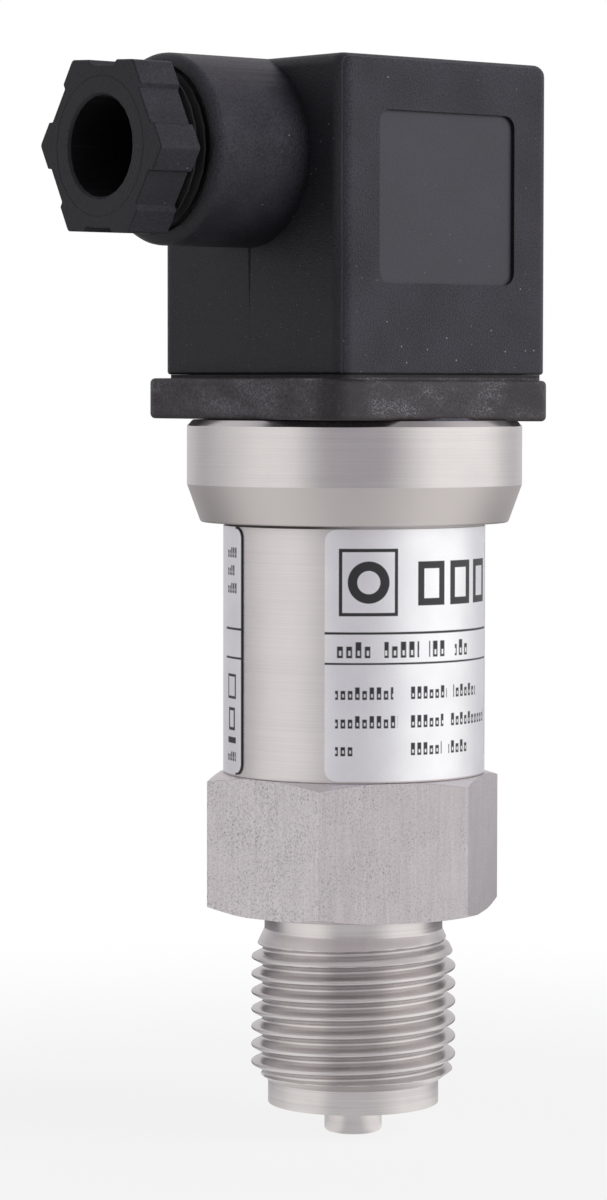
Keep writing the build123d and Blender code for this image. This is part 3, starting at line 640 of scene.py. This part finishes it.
def foil():
    """Satin foil with plain marks: rules, a ring, open boxes and rows of small blocks; a
    painted shade line runs along its right-hand end.
    """
    finish = Finish("label_foil")
    spot, x, y, z = finish.place()
    along, across = view_axes(x, y)
    ink_and_end_shade = label_ink_and_end_shade(finish, across.math("ARCTAN2", along) * LABEL_R, z)
    grain = finish.noise(spot, 7.0, 3.0, 0.6)
    cloud = finish.noise(spot, 0.25, 2.0)
    sheen = (grain * 0.4 + cloud * 0.6).step(0.25, 0.75)
    base = finish.mix(sheen, (0.83, 0.84, 0.875, 1.0), (0.92, 0.93, 0.96, 1.0))
    color = finish.mix(ink_and_end_shade, base, (0.02, 0.02, 0.022, 1.0))
    roughness = grain * 0.1 + 0.36 + ink_and_end_shade * 0.1
    return finish.surface(color, roughness, finish.bump(grain, 0.004), Metallic=1 - ink_and_end_shade)


def moulded_black(name, level, rough, depth, extra=None):
    """Black moulded plastic: a fine eroded grain, faint clouds and small pale specks."""
    finish = Finish(name)
    spot, x, y, z = finish.place()
    grain = finish.noise(spot, 5.5, 3.0, 0.6)
    cloud = finish.noise(spot, 0.16, 3.0)
    near = finish.cells(spot, 1.5)
    chance = finish.cells(spot, 1.5, "Color")
    pick, pale, _ = finish.split("ShaderNodeSeparateColor", chance)
    low_down = z.step(96.0, 76.0) * 0.2 + 0.04
    pick = (pick - 1 + low_down).step(-0.01, 0.01)
    specks = (0.15 - near).step(0.0, 0.05) * pick * (pale * 0.7 + 0.3)
    tone = (cloud * 0.3 + grain * 0.7).step(0.32, 0.7)
    color = finish.mix(tone, grey(level * 0.4, 0.04, 0.34), grey(level * 1.75, 0.04, 0.34))
    color = finish.mix(specks * 0.8, color, grey(0.3, 0.0, 0.05))
    relief = grain + specks * 0.4
    roughness = grain * 0.14 + cloud * 0.1 + (rough - 0.12)
    if extra:
        color, roughness, relief = extra(finish, (spot, x, y, z), color, roughness, relief)
    normal = finish.bump(relief, depth)
    return finish.surface(color, roughness, normal, Specular_IOR_Level=0.28)


def hood_marks(finish, places, color, roughness, relief):
    """The hood's own marks: a mould line, scuffs under the barrel and a smoother panel."""
    spot, x, y, z = places
    wobble = finish.noise(spot, 0.7, 2.0) * 0.16
    left = abs(x + HOOD_HALF).step(0.12, 0.02)
    wide = z.step(81.5, 87.5) * 0.16 + 0.05
    line = (abs(y + 0.02 + wobble) - wide).step(0.05, -0.02) * left
    line = line * (z.step(79.5, 83.5) * 0.75 + 0.25) * z.step(76.0, 79.0)
    rub = finish.noise(spot, 2.6, 4.0, 0.75).step(0.5, 0.68)
    scuff = x.within(-23.0, -19.4, 0.5) * z.step(88.4, 87.5) * y.step(1.0, -0.6) * rub
    panel = abs(y + HOOD_HALF - PANEL_DEPTH).step(0.1, 0.02)
    worn = finish.noise(spot, 4.2, 3.0, 0.7).step(0.6, 0.74)
    rims = z.within(HOOD_HIGH - 1.1, HOOD_HIGH - 0.3, 0.3)
    rims = rims + z.within(PANEL_HIGH - 0.15, PANEL_HIGH + 0.15, 0.05)
    rims = rims + z.within(PANEL_LOW - 0.15, PANEL_LOW + 0.1, 0.05)
    rims = rims * worn * abs(x).step(12.0, 9.0)
    color = finish.mix(line * 0.9, color, grey(0.003))
    color = finish.mix((scuff * 0.5 + rims * 0.2).math("MINIMUM", 1.0), color, grey(0.2))
    color = finish.mix(panel * 0.7, color, grey(0.04, 0.02, 0.25))
    roughness = roughness - panel * 0.08 + scuff * 0.1 + line * 0.3
    return color, roughness, relief * (1 - panel * 0.75) - line * 0.6


def gland_marks_and_shade(finish, places, color, roughness, relief):
    """The gland's painted shade, near black on its ringed stem in and behind the barrel and
    down its bore, and scuffs on its edges.
    """
    spot, x, y, z = places
    radius = (y * y + (z - GLAND_Z) ** 2.0) ** 0.5
    back = x.step(-GLAND_HEX_BACK - 0.02, -GLAND_HEX_BACK + 0.02)
    scuff = finish.noise(spot, 2.2, 4.0, 0.75).step(0.6, 0.75) * radius.step(8.1, 8.7)
    color = finish.mix(scuff * 0.2, color, grey(0.2))
    # Painted shade: the stem behind the hexagon and the bore are darkened to near black.
    inside = radius.step(GLAND_BORE + 0.05, GLAND_BORE - 0.05)
    dark = (back + inside).math("MINIMUM", 1.0)
    color = finish.mix(dark * 0.85, color, grey(0.004))
    return color, roughness + dark * 0.2, relief


def bloomed_rubber():
    """The gasket's old rubber: brownish black, bloomed pale and with fine light specks, with
    painted light on its left face, painted glints among the specks and painted shade at the
    front corner, the right tip and the bead.
    """
    finish = Finish("gasket_rubber")
    spot, x, y, z = finish.place()
    cloud = finish.noise(finish.vector(x * 0.22, y * 0.22, z * 0.45), 1.0, 4.0, 0.6)
    grain = finish.noise(spot, 5.0, 4.0, 0.75)
    zone = cloud.step(0.44, 0.62)
    # Painted light: the left face gets a paler bloom and paler specks, as it is lit less.
    left = (-x).step(15.2, 15.8)
    bloom_and_side_light = (grain * 0.7 + cloud * 0.3).step(0.34, 0.68) * (left * 0.87 + 0.13)
    sparks = finish.noise(spot, 5.5, 2.0, 0.6).step(0.5, 0.62) * (zone * 0.85 + 0.15)
    color = finish.mix(bloom_and_side_light, grey(0.014, 0.14, 0.14), grey(0.26, 0.05, 0.12))
    # The specks' colour is partly dust, partly a painted glint, paler on the left face.
    speck_dust_and_glint = finish.mix(left, grey(0.3, 0.0, 0.1), grey(0.6, 0.0, 0.1))
    color = finish.mix(sparks * (left * 0.2 + 0.45), color, speck_dust_and_glint)
    # Darker and browner along the foot.
    edge = z.step(GASKET_LOW + 0.85, GASKET_LOW + 0.05)
    color = finish.mix(edge * 0.45, color, grey(0.03, 0.25, 0.05))
    along, across = view_axes(x, y)
    # Painted shade: the front corner, the right-hand tip and the bead's top under the hood are
    # darkened.
    corner = across.step(-4.6, -2.7) * across.step(4.0, -1.5) * along.step(16.0, 19.0)
    tip = across.step(12.0, 16.0) * 0.5
    ledge = z.step(GASKET_HIGH + 0.02, GASKET_HIGH + 0.12)
    dark = (corner * 0.8 + tip + ledge * 0.95).math("MINIMUM", 0.95)
    color = finish.mix(dark, color, grey(0.009, 0.1, 0.1))
    height = grain * 0.7 + cloud * 0.3
    roughness = bloom_and_side_light * 0.15 + 0.55
    normal = finish.bump(height, 0.1)
    return finish.surface(color, roughness, normal, Specular_IOR_Level=0.45)


def grained(name, grain, dark, light, rough, depth):
    """A plain matt finish of the hidden pieces, from its grain's scale and detail."""
    finish = Finish(name)
    tone = finish.noise(finish.place()[0], *grain)
    low, spread = rough
    roughness = tone * spread + low
    return finish.surface(finish.mix(tone, dark, light), roughness, finish.bump(tone, depth))


def laminate():
    """Green board with a woven ground and faint tracks."""
    finish = Finish("board_laminate")
    spot, x, _, z = finish.place()
    weave = (x * 9.0).math("SINE") * (z * 9.0).math("SINE")
    tracks = (z * 1.6 + finish.noise(spot, 0.3) * 4.0).math("FRACT").within(0.35, 0.6, 0.05)
    color = finish.mix(tracks, (0.015, 0.12, 0.05, 1), (0.03, 0.2, 0.08, 1))
    return finish.surface(color, weave * 0.05 + 0.35, finish.bump(weave * 0.3 + tracks, 0.03))


def amber_film():
    """Amber film with tinned tracks along it."""
    finish = Finish("flex_film")
    x = finish.place()[1]
    tracks = (x / 1.27).math("FRACT").within(0.3, 0.7, 0.05)
    color = finish.mix(tracks * 0.7, (0.35, 0.13, 0.02, 1), (0.6, 0.5, 0.35, 1))
    return finish.surface(color, 0.35 - tracks * 0.1, finish.bump(tracks, 0.03))


def rolled_metal(name, light, dark, rough):
    """Stamped or plated metal with faint rolling lines."""
    finish = Finish(name)
    spot, x, y, z = finish.place()
    lines = finish.noise(finish.vector(x * 0.6, y * 6.0, z * 6.0), 1.0, 3.0)
    cloud = finish.noise(spot, 0.6, 3.0)
    color = finish.mix((lines * 0.5 + cloud * 0.5).step(0.3, 0.7), dark, light)
    roughness = cloud * 0.14 + (rough - 0.07)
    return finish.surface(color, roughness, finish.bump(lines, 0.004), Metallic=1.0)


def blended(a, b, width):
    """The smaller of two values, rounded over where they are nearly the same."""
    share = min(max(0.5 + (b - a) / (2 * width), 0.0), 1.0)
    return b + (a - b) * share - width * share * (1 - share)


def thread_radius(heading, height):
    """Radius of the right-hand pipe thread, with rounded crests and roots."""
    turn = (height - THREAD_CREST_Z) / THREAD_PITCH - (heading - VIEW_HEADING) / 360
    away = abs(turn - round(turn)) * THREAD_PITCH
    bend = THREAD_ROUND * math.cos(THREAD_HALF_ANGLE)
    far = THREAD_PITCH / 2 - away
    if away < bend:
        wall = THREAD_R - THREAD_ROUND + math.sqrt(THREAD_ROUND**2 - away**2)
    elif far < bend:
        wall = THREAD_ROOT_R + THREAD_ROUND - math.sqrt(THREAD_ROUND**2 - far**2)
    else:
        shoulder = THREAD_R - THREAD_ROUND * (1 - math.sin(THREAD_HALF_ANGLE))
        wall = shoulder - (away - bend) / math.tan(THREAD_HALF_ANGLE)
    lead_in = SPIGOT_R + (height - SPIGOT_TOP) / LEAD_IN
    cone = NECK_R + (NECK_LOW - height) * NECK_SLOPE
    return blended(wall, min(lead_in, cone), THREAD_RUN_OUT)


def threaded_wall():
    """The thread between the spigot and the neck."""
    low, high = SPIGOT_TOP, NECK_LOW - NECK_CONE

    def place(column, row):
        heading = 360 * column / COLUMNS
        height = low + (high - low) * row / (THREAD_ROWS - 1)
        return polar(thread_radius(heading, height), heading, height)

    return wrapped("thread", COLUMNS, THREAD_ROWS, place)


def hexagon_wall():
    """The spanner hexagon between its two turned bevels, open inside."""
    corner = HEX_AF / math.sqrt(3)
    face_r = corner - HEX_BEVEL / HEX_BEVEL_SLOPE

    def place(column, row):
        heading = 360 * column / COLUMNS
        turn = (heading - HEX_TURN + 30) % 60 - 30
        flat = HEX_AF / 2 / math.cos(math.radians(30 - abs(turn)))
        drop = max(0.0, flat - face_r) * HEX_BEVEL_SLOPE
        face = min(flat, face_r)
        radius = (SHOULDER_R, face, flat, flat, face, TUBE_BORE)[row]
        heights = (SHOULDER, SHOULDER, SHOULDER + drop, HEX_TOP - drop, HEX_TOP, HEX_TOP)
        return polar(radius, heading, heights[row])

    piece = wrapped("hexagon", COLUMNS, 6, place)
    ease(piece, 0.13, 20)
    return piece


def process_connection(bright, drawn):
    """Pin, spigot, thread, neck and hexagon as one piece, hollow for the measuring cell."""
    mouth_r, mouth_end = CHANNEL_MOUTH
    tip = turned(
        "process_connection",
        [
            (CHANNEL_R, CELL_SEAT),
            (CHANNEL_R, mouth_end),
            (mouth_r, PIN_LOW, 0.1),
            (PIN_R, PIN_LOW, PIN_EDGE),
            (PIN_R, 0.0, 0.12),
            (SPIGOT_R, 0.0, 0.12),
            (SPIGOT_R, SPIGOT_TOP),
        ],
        closed=False,
    )
    neck = turned(
        "neck",
        [
            (NECK_R + NECK_CONE * NECK_SLOPE, NECK_LOW - NECK_CONE),
            (NECK_R, NECK_LOW, 0.5),
            (NECK_R, SHOULDER, 0.45),
            (SHOULDER_R, SHOULDER),
        ],
        closed=False,
    )
    boss_r = TUBE_BORE - 0.05
    inside = turned(
        "boss",
        [
            (TUBE_BORE, HEX_TOP),
            (boss_r, HEX_TOP, 0.02),
            (boss_r, BOSS_TOP, 0.1),
            (RING_R, BOSS_TOP, 0.1),
            (RING_R, RING_SEAT),
            (CELL_CHAMBER_R, RING_SEAT),
            (CELL_CHAMBER_R, CELL_SEAT),
            (CHANNEL_R, CELL_SEAT),
        ],
        closed=False,
    )
    hexagon = hexagon_wall()
    thread = threaded_wall()
    for piece in (tip, thread, neck, inside):
        piece.data.materials.append(bright)
        smooth(piece, 40)
    hexagon.data.materials.append(drawn)
    whole = join([tip, thread, neck, inside, hexagon])
    shape_all(whole, lambda: bpy.ops.mesh.remove_doubles(threshold=4e-6))
    smooth(whole, 38)
    return whole


def tapered_collar():
    """The tapered collar with eased edges."""
    return turned(
        "collar",
        [
            (COLLAR_BORE, COLLAR_LOW, 0.12),
            (COLLAR_FOOT_R, COLLAR_LOW, 0.3),
            (COLLAR_R, TAPER_TOP, 0.2),
            (COLLAR_R, COLLAR_TOP - COLLAR_BEVEL, 0.08),
            (COLLAR_R - COLLAR_BEVEL, COLLAR_TOP, 0.06),
            (COLLAR_SEAT_R, COLLAR_TOP, 0.1),
            (COLLAR_SEAT_R, TUBE_TOP),
            (COLLAR_BORE, TUBE_TOP),
        ],
    )


def body_tube():
    """The body tube, its foot eased where it is welded on."""
    return turned(
        "housing_tube",
        [
            (TUBE_R, HEX_TOP, 0.15),
            (TUBE_R, TUBE_TOP, 0.1),
            (TUBE_BORE, TUBE_TOP, 0.1),
            (TUBE_BORE, HEX_TOP, 0.1),
        ],
    )


def label_sheet():
    """The foil label: a strip wrapped round the tube, with rounded corners at its two ends."""
    degree = LABEL_R * math.pi / 180
    rows = (0.0, 0.12, 0.35, 0.7, LABEL_CORNER)
    heights = [LABEL_LOW + r for r in rows] + [LABEL_HIGH - r for r in reversed(rows)]
    steps = [s / degree for s in (0.0, 0.04, 0.12, 0.25, 0.42, 0.65, 0.9, LABEL_CORNER)]
    pitch = (LABEL_SPAN - 2 * steps[-1]) / LABEL_COLUMNS
    middle = [steps[-1] + pitch * k for k in range(1, LABEL_COLUMNS)]
    turns = steps + middle + [LABEL_SPAN - s for s in reversed(steps)]
    fresh()
    bpy.ops.mesh.primitive_grid_add(
        x_subdivisions=len(turns) - 1, y_subdivisions=len(heights) - 1, size=2
    )
    piece = bpy.context.object
    piece.name = "type_label"
    for vertex in piece.data.vertices:
        column = round((vertex.co.x + 1) / 2 * (len(turns) - 1))
        row = round((vertex.co.y + 1) / 2 * (len(heights) - 1))
        end = min(turns[column], LABEL_SPAN - turns[column]) * degree
        height = heights[row]
        if end < LABEL_CORNER:
            arc = max(0.0, LABEL_CORNER**2 - (LABEL_CORNER - end) ** 2)
            inset = LABEL_CORNER - math.sqrt(arc)
            height = min(max(height, LABEL_LOW + inset), LABEL_HIGH - inset)
        vertex.co = Vector(polar(TUBE_R, LABEL_START + turns[column], height)) * MM
    close_up(piece)
    faces = piece.data.polygons
    if sum(face.normal.dot(face.center.to_2d().to_3d().normalized()) for face in faces) < 0:
        piece.data.flip_normals()
    modify(piece, "SOLIDIFY", thickness=LABEL_T * MM, offset=1.0)
    smooth(piece, 40)
    return piece


def gasket():
    """The thick square gasket: broad corners, a window, a slight sag and a low bead."""
    low, high = GASKET_LOW, GASKET_HIGH
    across = (-GASKET_HALF, GASKET_HALF)
    along = [GASKET_SHIFT + side for side in across]
    piece = box("gasket_plate", along, across, (low, high))
    round_edges(piece, upright, 2.3, 8)
    round_edges(piece, level_at(high), 0.5, 4)
    round_edges(piece, level_at(low), 0.5, 4)
    sides = (-WINDOW_HALF, WINDOW_HALF)
    window = box("window", sides, sides, (low - 1, high + 1))
    round_edges(window, upright, 2.75, 6)
    carve(piece, window)
    heading = math.radians(VIEW_HEADING + 90)
    for vertex in piece.data.vertices:
        reach = (vertex.co.x * math.cos(heading) + vertex.co.y * math.sin(heading)) / MM
        above = vertex.co.z / MM > low + 2.0
        start, width, depth = GASKET_SAG["head" if above else "foot"]
        sag = min(max((reach - start) / width, 0.0), 1.0)
        vertex.co.z -= sag * sag * (3 - 2 * sag) * depth * MM
    outer, inner = ((-half, half) for half in BEAD_HALF)
    bead = box("bead", outer, outer, (high - 0.7, HOOD_LOW - 0.01))
    round_edges(bead, upright, 1.3, 6)
    hollow = box("hollow", inner, inner, (high - 1, high + 1))
    round_edges(hollow, upright, 1.0, 6)
    carve(bead, hollow)
    carve(piece, bead, "UNION")
    shade(piece, 40)
    return piece


def hood():
    """The plug's housing: a hollow rounded box and barrel, a screw seat and a sunk panel."""
    sides = (-HOOD_HALF, HOOD_HALF)
    piece = box("plug_hood", sides, sides, (HOOD_LOW, HOOD_HIGH))
    round_edges(piece, upright, 1.5, 8)
    round_edges(piece, level_at(HOOD_HIGH), 1.2, 6)
    round_edges(piece, level_at(HOOD_LOW), 0.3, 3)
    barrel = turned(
        "barrel",
        [
            (AXIS_R, BARREL_START),
            (BARREL_R, BARREL_START),
            (BARREL_R, BARREL_END, 1.3),
            (AXIS_R, BARREL_END),
        ],
        closed=False,
    )
    carve(piece, along_gland(barrel), "UNION")
    inner = HOOD_HALF - HOOD_WALL
    room = (-inner, inner)
    cavity = box("cavity", room, room, (HOOD_LOW - 1, HOOD_HIGH - HOOD_WALL))
    round_edges(cavity, upright, 0.8, 4)
    carve(piece, cavity)
    carve(piece, rod("seat", *SCREW_SEAT), "UNION")
    carve(piece, rod("bore", *SCREW_BORE))
    carve(piece, rod("hole", *SCREW_HOLE))
    seal_r, seal_start = SEAL_SEAT
    stem_r, stem_start = STEM_BORE
    mouth_r, mouth_end = STEM_MOUTH
    way = turned(
        "way",
        [
            (AXIS_R, inner - 1),
            (WAY_R, inner - 1),
            (WAY_R, seal_start),
            (seal_r, seal_start),
            (seal_r, stem_start),
            (stem_r, stem_start),
            (stem_r, mouth_end - 0.5),
            (mouth_r, mouth_end),
            (mouth_r, BARREL_END + 1),
            (AXIS_R, BARREL_END + 1),
        ],
        closed=False,
    )
    carve(piece, along_gland(way))
    front = (-HOOD_HALF - 1, -HOOD_HALF + PANEL_DEPTH)
    panel = box("panel", (-PANEL_HALF, PANEL_HALF), front, (PANEL_LOW, PANEL_HIGH))
    round_edges(panel, lambda a, b: abs(a.y - b.y) > 0.5, 1.3, 6)
    carve(piece, panel)
    ease(piece, 0.09, 40)
    return piece


def gland_sector():
    """One sixth of the gland hexagon, from corner to corner: its turns and their radii."""
    flat = GLAND_HEX_HALF
    corner_r = 0.5
    notch_half = 2.11
    notch_depth = 0.45
    lip = 0.12
    centre = (flat - corner_r) / math.cos(math.radians(30))
    points = []
    for k in range(5):
        angle = math.radians(7.5 * k)
        spot = Vector((centre + corner_r * math.cos(angle), corner_r * math.sin(angle)))
        points.append((math.degrees(math.atan2(spot.y, spot.x)), spot.length))
    for side, depth in (
        (notch_half + lip, 0),
        (notch_half, lip),
        (notch_half - lip, notch_depth - lip),
        (notch_half - 2 * lip, notch_depth),
    ):
        radius = math.hypot(flat - depth, side)
        points.append((30 - math.degrees(math.atan2(side, flat - depth)), radius))
    points.append((30.0, flat - notch_depth))
    mirrored = [(60 - turn, radius) for turn, radius in reversed(points[1:-1])]
    return points + mirrored


def gland_screw():
    """The hollow gland screw: notched hexagon, ringed stem, eased bore and grooved face."""
    sector = gland_sector()
    back, face = GLAND_HEX_BACK, GLAND_FACE
    stem, end = GLAND_STEM_R, BARREL_END - 6.4
    bore, lip = GLAND_BORE, GLAND_LIP
    edges = [  # height and inset of the hexagon's outline
        (back, 0.14),
        (back + 0.12, 0.0),
        (face - 0.12, 0.0),
        (face, 0.14),
    ]
    circles = [
        (bore, end),
        (stem - 0.5, end),
        (stem, end + 0.5),
        (stem, BARREL_END - 1.0),
        (stem - 0.55, BARREL_END - 0.6),
        (stem - 0.55, BARREL_END - 0.2),
        (stem, BARREL_END + 0.15),
        (stem, BARREL_END + 0.4),
        (stem - 0.6, BARREL_END + 0.75),
        (stem - 0.6, BARREL_END + 0.95),
        (stem, BARREL_END + 1.25),
        (stem, BARREL_END + 1.45),
        (stem - 0.6, BARREL_END + 1.75),
        (stem - 0.6, back),
    ]
    face_circles = [
        (6.87, face),
        (6.83, face - 0.035),
        (6.77, face - 0.035),
        (6.73, face),
        (bore + lip + 0.08, face),
        (bore + lip, face - 0.03),
        (bore + 0.03, face - lip),
        (bore, face - lip - 0.1),
    ]
    columns = 6 * len(sector)
    rows = len(circles) + len(edges) + len(face_circles)

    def place(column, row):
        sixth, k = divmod(column, len(sector))
        turn, radius = sector[k]
        if row < len(circles):
            radius, height = circles[row]
        elif row < len(circles) + len(edges):
            height, inset = edges[row - len(circles)]
            radius -= inset
        else:
            radius, height = face_circles[row - len(circles) - len(edges)]
        return polar(radius, 60 * sixth + turn + GLAND_TURN, height)

    piece = wrapped("gland_screw", columns, rows + 1, lambda c, r: place(c, r % rows))
    along_gland(piece)
    shade(piece, 24)
    return piece


def dress(piece, body, nodes, finish=None):
    """Give a finished piece its body, the node it stands for and its material."""
    if finish:
        piece.data.materials.clear()
        piece.data.materials.append(finish)
    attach(piece, body)
    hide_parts(*nodes)


def paint(node, finish):
    """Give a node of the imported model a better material."""
    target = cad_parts[node]
    if not target.material_slots:
        target.data.materials.append(finish)
    for holder in target.material_slots:
        holder.material = finish


def studio(toward, across, rise):
    """Light of the studio by direction: soft panels left and right, dimmer elsewhere."""
    angle = across.math("ARCTAN2", toward) * (180 / math.pi)
    right = angle.step(16.0, 60.0) * angle.step(144.0, 98.0)
    left = (-angle).step(18.0, 46.0) * (-angle).step(142.0, 58.0)
    behind = abs(abs(angle) - 180.0).step(62.0, 30.0)
    upper = rise.step(0.2, 0.75)
    level = 0.50 + right * 0.70 + left * 0.55 + behind * 0.2
    return level * (1 - upper) + upper * (0.7 - rise.step(0.75, 0.95) * 0.4)


def tint(finish, level):
    """The studio's colour: slightly mauve where it is dim, slightly warm where it is bright."""
    mauve, warm = (1.03, 0.985, 1.035, 1.0), (1.02, 1.0, 0.985, 1.0)
    return finish.mix(level.step(0.5, 0.95), mauve, warm)


def set_world():
    """The soft studio: white for the camera, panels for mirrored rays, dimmer for matt ones."""
    world = bpy.data.worlds.new("studio")
    bpy.context.scene.world = world
    world.use_nodes = True
    finish = Finish("studio", world.node_tree)
    direction = finish.value("ShaderNodeTexCoord", "Generated")
    x, y, z = finish.split("ShaderNodeSeparateXYZ", direction)
    toward, across = view_axes(x, y)
    level = studio(toward, across, z)
    seen = finish.value("ShaderNodeLightPath", "Is Camera Ray")
    spread = finish.value("ShaderNodeLightPath", "Is Diffuse Ray")
    strength = level * (1 - spread * 0.6) * (1 - seen) + seen
    color = finish.mix(seen, tint(finish, level), grey(1.0))
    background = world.node_tree.nodes["Background"]
    finish.fill(background, {"Color": color, "Strength": strength})


def set_floor():
    """A plain pale floor that keeps the object's shadow; for mirrored rays it glows with a
    painted reflection of the studio's panels, painted dark close behind the object.
    """
    fresh()
    bpy.ops.mesh.primitive_circle_add(
        vertices=64, radius=4.0, fill_type="NGON", location=(0, 0, FLOOR_Z * MM)
    )
    floor = bpy.context.object
    floor.name = "floor"
    settle(floor)
    finish = Finish("pale_floor")
    _, x, y, _ = finish.place()
    toward, across = view_axes(x, y)
    away = (x * x + y * y) ** 0.5
    paths = finish.node("ShaderNodeLightPath")
    seen = Value(finish, paths.outputs["Is Camera Ray"])
    mirrored = Value(finish, paths.outputs["Is Glossy Ray"])
    shader = finish.tree.nodes["Principled BSDF"]
    base = finish.mix(seen, grey(0.07), grey(0.3))
    finish.fill(shader, {"Base Color": base, "Roughness": 0.9})
    # Painted light for mirrored rays: the studio's panels laid on the floor, evened out near
    # the object and painted dark close behind it.
    far = away.step(100.0, 320.0)
    around = studio(toward, across, away * 0.0)
    around = around * (far * 0.4 + 0.6) + (1 - far) * 0.42
    before, behind = toward.step(-70.0, 5.0), toward.step(5.0, -70.0)
    around = around * (before * 0.85 + 0.15 + far * behind * 0.85)
    level = seen + (1 - seen) * around
    color = finish.mix(seen, tint(finish, around), grey(1.0))
    glow = finish.value("ShaderNodeEmission", 0, None, {"Color": color, "Strength": level})
    share = seen * (away.step(25.0, 160.0) * 0.14 + 0.86) + mirrored * 0.95
    inputs = {0: share, 1: Value(finish, shader.outputs[0]), 2: glow}
    blend = finish.value("ShaderNodeMixShader", 0, None, inputs)
    finish.fill(finish.tree.nodes["Material Output"], {"Surface": blend})
    floor.data.materials.append(finish.material)


def set_lamp(name, heading, height, distance, size, watts):
    """One soft lamp, aimed at the middle of the body."""
    spot = Vector(polar(distance, VIEW_HEADING + heading, height)) * MM
    fresh()
    bpy.ops.object.light_add(type="AREA", location=spot)
    lamp = bpy.context.object
    lamp.name = name
    lamp.data.size = size * MM
    lamp.data.energy = watts
    lamp.visible_glossy = False
    aim = Vector((0, 0, 0.06)) - spot
    lamp.rotation_euler = aim.to_track_quat("-Z", "Y").to_euler()


def set_camera():
    """The camera at the photograph's place and angle."""
    outward = Vector(polar(1, VIEW_HEADING, 0))
    spot = outward * CAMERA_RANGE + Vector((0, 0, CAMERA_HEIGHT))
    turn = Matrix.Rotation(-CAMERA_YAW, 3, "Z")
    level = turn @ -outward
    right = level.cross(Vector((0, 0, 1))).normalized()
    ahead = level * math.cos(CAMERA_PITCH) - Vector((0, 0, 1)) * math.sin(CAMERA_PITCH)
    up = right.cross(ahead)
    side = right * math.cos(CAMERA_ROLL) + up * math.sin(CAMERA_ROLL)
    top = up * math.cos(CAMERA_ROLL) - right * math.sin(CAMERA_ROLL)
    fresh()
    bpy.ops.object.camera_add()
    camera = bpy.context.object
    camera.name = "photo_camera"
    camera.data.lens = CAMERA_LENS
    camera.data.sensor_width = 36.0
    camera.data.clip_start = 0.01
    camera.data.clip_end = 20.0
    rows = (side, top, -ahead)
    matrix = Matrix([[rows[k][i] for k in range(3)] for i in range(3)]).to_4x4()
    matrix.translation = spot * MM
    camera.matrix_world = matrix
    bpy.context.scene.camera = camera


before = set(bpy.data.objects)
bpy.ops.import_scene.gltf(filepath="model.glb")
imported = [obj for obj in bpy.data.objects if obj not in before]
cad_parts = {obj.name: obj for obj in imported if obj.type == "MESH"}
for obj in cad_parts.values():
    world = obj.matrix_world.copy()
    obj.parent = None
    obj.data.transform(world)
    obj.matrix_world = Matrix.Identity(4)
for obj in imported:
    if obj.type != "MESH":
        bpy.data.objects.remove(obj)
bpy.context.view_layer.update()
bpy.context.scene.view_settings.view_transform = "Standard"

bright_steel = turned_steel("bright_turned_steel", 0.66, 0.52, 0.22, 8.0, 0.005)
collar_steel = turned_steel(
    "collar_turned_steel", 0.66, 0.58, 0.22, 12.0, 0.008, 0.12, matt_taper
)
ring_steel = turned_steel("ring_turned_steel", 0.6, 0.5, 0.35)
rubber = grained("seal_rubber", (4.0, 3.0), grey(0.018), grey(0.036), (0.55, 0.15), 0.03)
packages = grained("board_packages", (8.0, 2.0), grey(0.025), grey(0.05), (0.4, 0.15), 0.01)
whites = (0.76, 0.75, 0.72, 1), (0.86, 0.85, 0.82, 1)
ceramic = grained("cell_ceramic", (3.0, 4.0), *whites, (0.4, 0.1), 0.01)
carrier_black = moulded_black("carrier_plastic", 0.04, 0.45, 0.01)
block_black = moulded_black("block_plastic", 0.05, 0.45, 0.01)
hood_black = moulded_black("hood_plastic", 0.0195, 0.42, 0.1, hood_marks)
gland_black = moulded_black("gland_plastic", 0.015, 0.42, 0.06, gland_marks_and_shade)
tinned = rolled_metal("tinned_brass", (0.78, 0.76, 0.7, 1), (0.66, 0.63, 0.56, 1), 0.35)
brass = rolled_metal("bush_brass", (0.76, 0.58, 0.28, 1), (0.64, 0.47, 0.2, 1), 0.33)
zinc = rolled_metal("zinc_plate", (0.7, 0.7, 0.71, 1), (0.56, 0.57, 0.58, 1), 0.38)

connection = process_connection(bright_steel, pitted_steel())
dress(connection, "device", ["process_connection"])
tube = body_tube()
smooth(tube, 40)
dress(tube, "device", ["housing_tube"], tube_steel())
collar = tapered_collar()
smooth(collar, 24)
dress(collar, "device", ["collar"], collar_steel)
dress(label_sheet(), "device", ["type_label"], foil())
dress(gasket(), "device", ["gasket_plate"], bloomed_rubber())
dress(hood(), "plug", ["plug_hood"], hood_black)
dress(gland_screw(), "gland", ["gland_screw"], gland_black)

for finish, nodes in (
    (rubber, ("cell_seal", "carrier_seal", "screw_seal", "gland_seal")),
    (ceramic, ("sensor_cell",)),
    (ring_steel, ("sensor_ring",)),
    (laminate(), ("circuit_board",)),
    (packages, ("board_parts",)),
    (amber_film(), ("sensor_flex",)),
    (tinned, ("plug_leads", "contact_blades", "earth_blade", "socket_contacts")),
    (carrier_black, ("contact_carrier",)),
    (block_black, ("contact_block",)),
    (brass, ("screw_bush",)),
    (zinc, ("terminal_screws", "centre_screw", "gland_washer")),
):
    for node in nodes:
        paint(node, finish)

set_world()
set_floor()
set_lamp("right_lamp", heading=66.0, height=330.0, distance=610.0, size=450.0, watts=6.0)
set_camera()
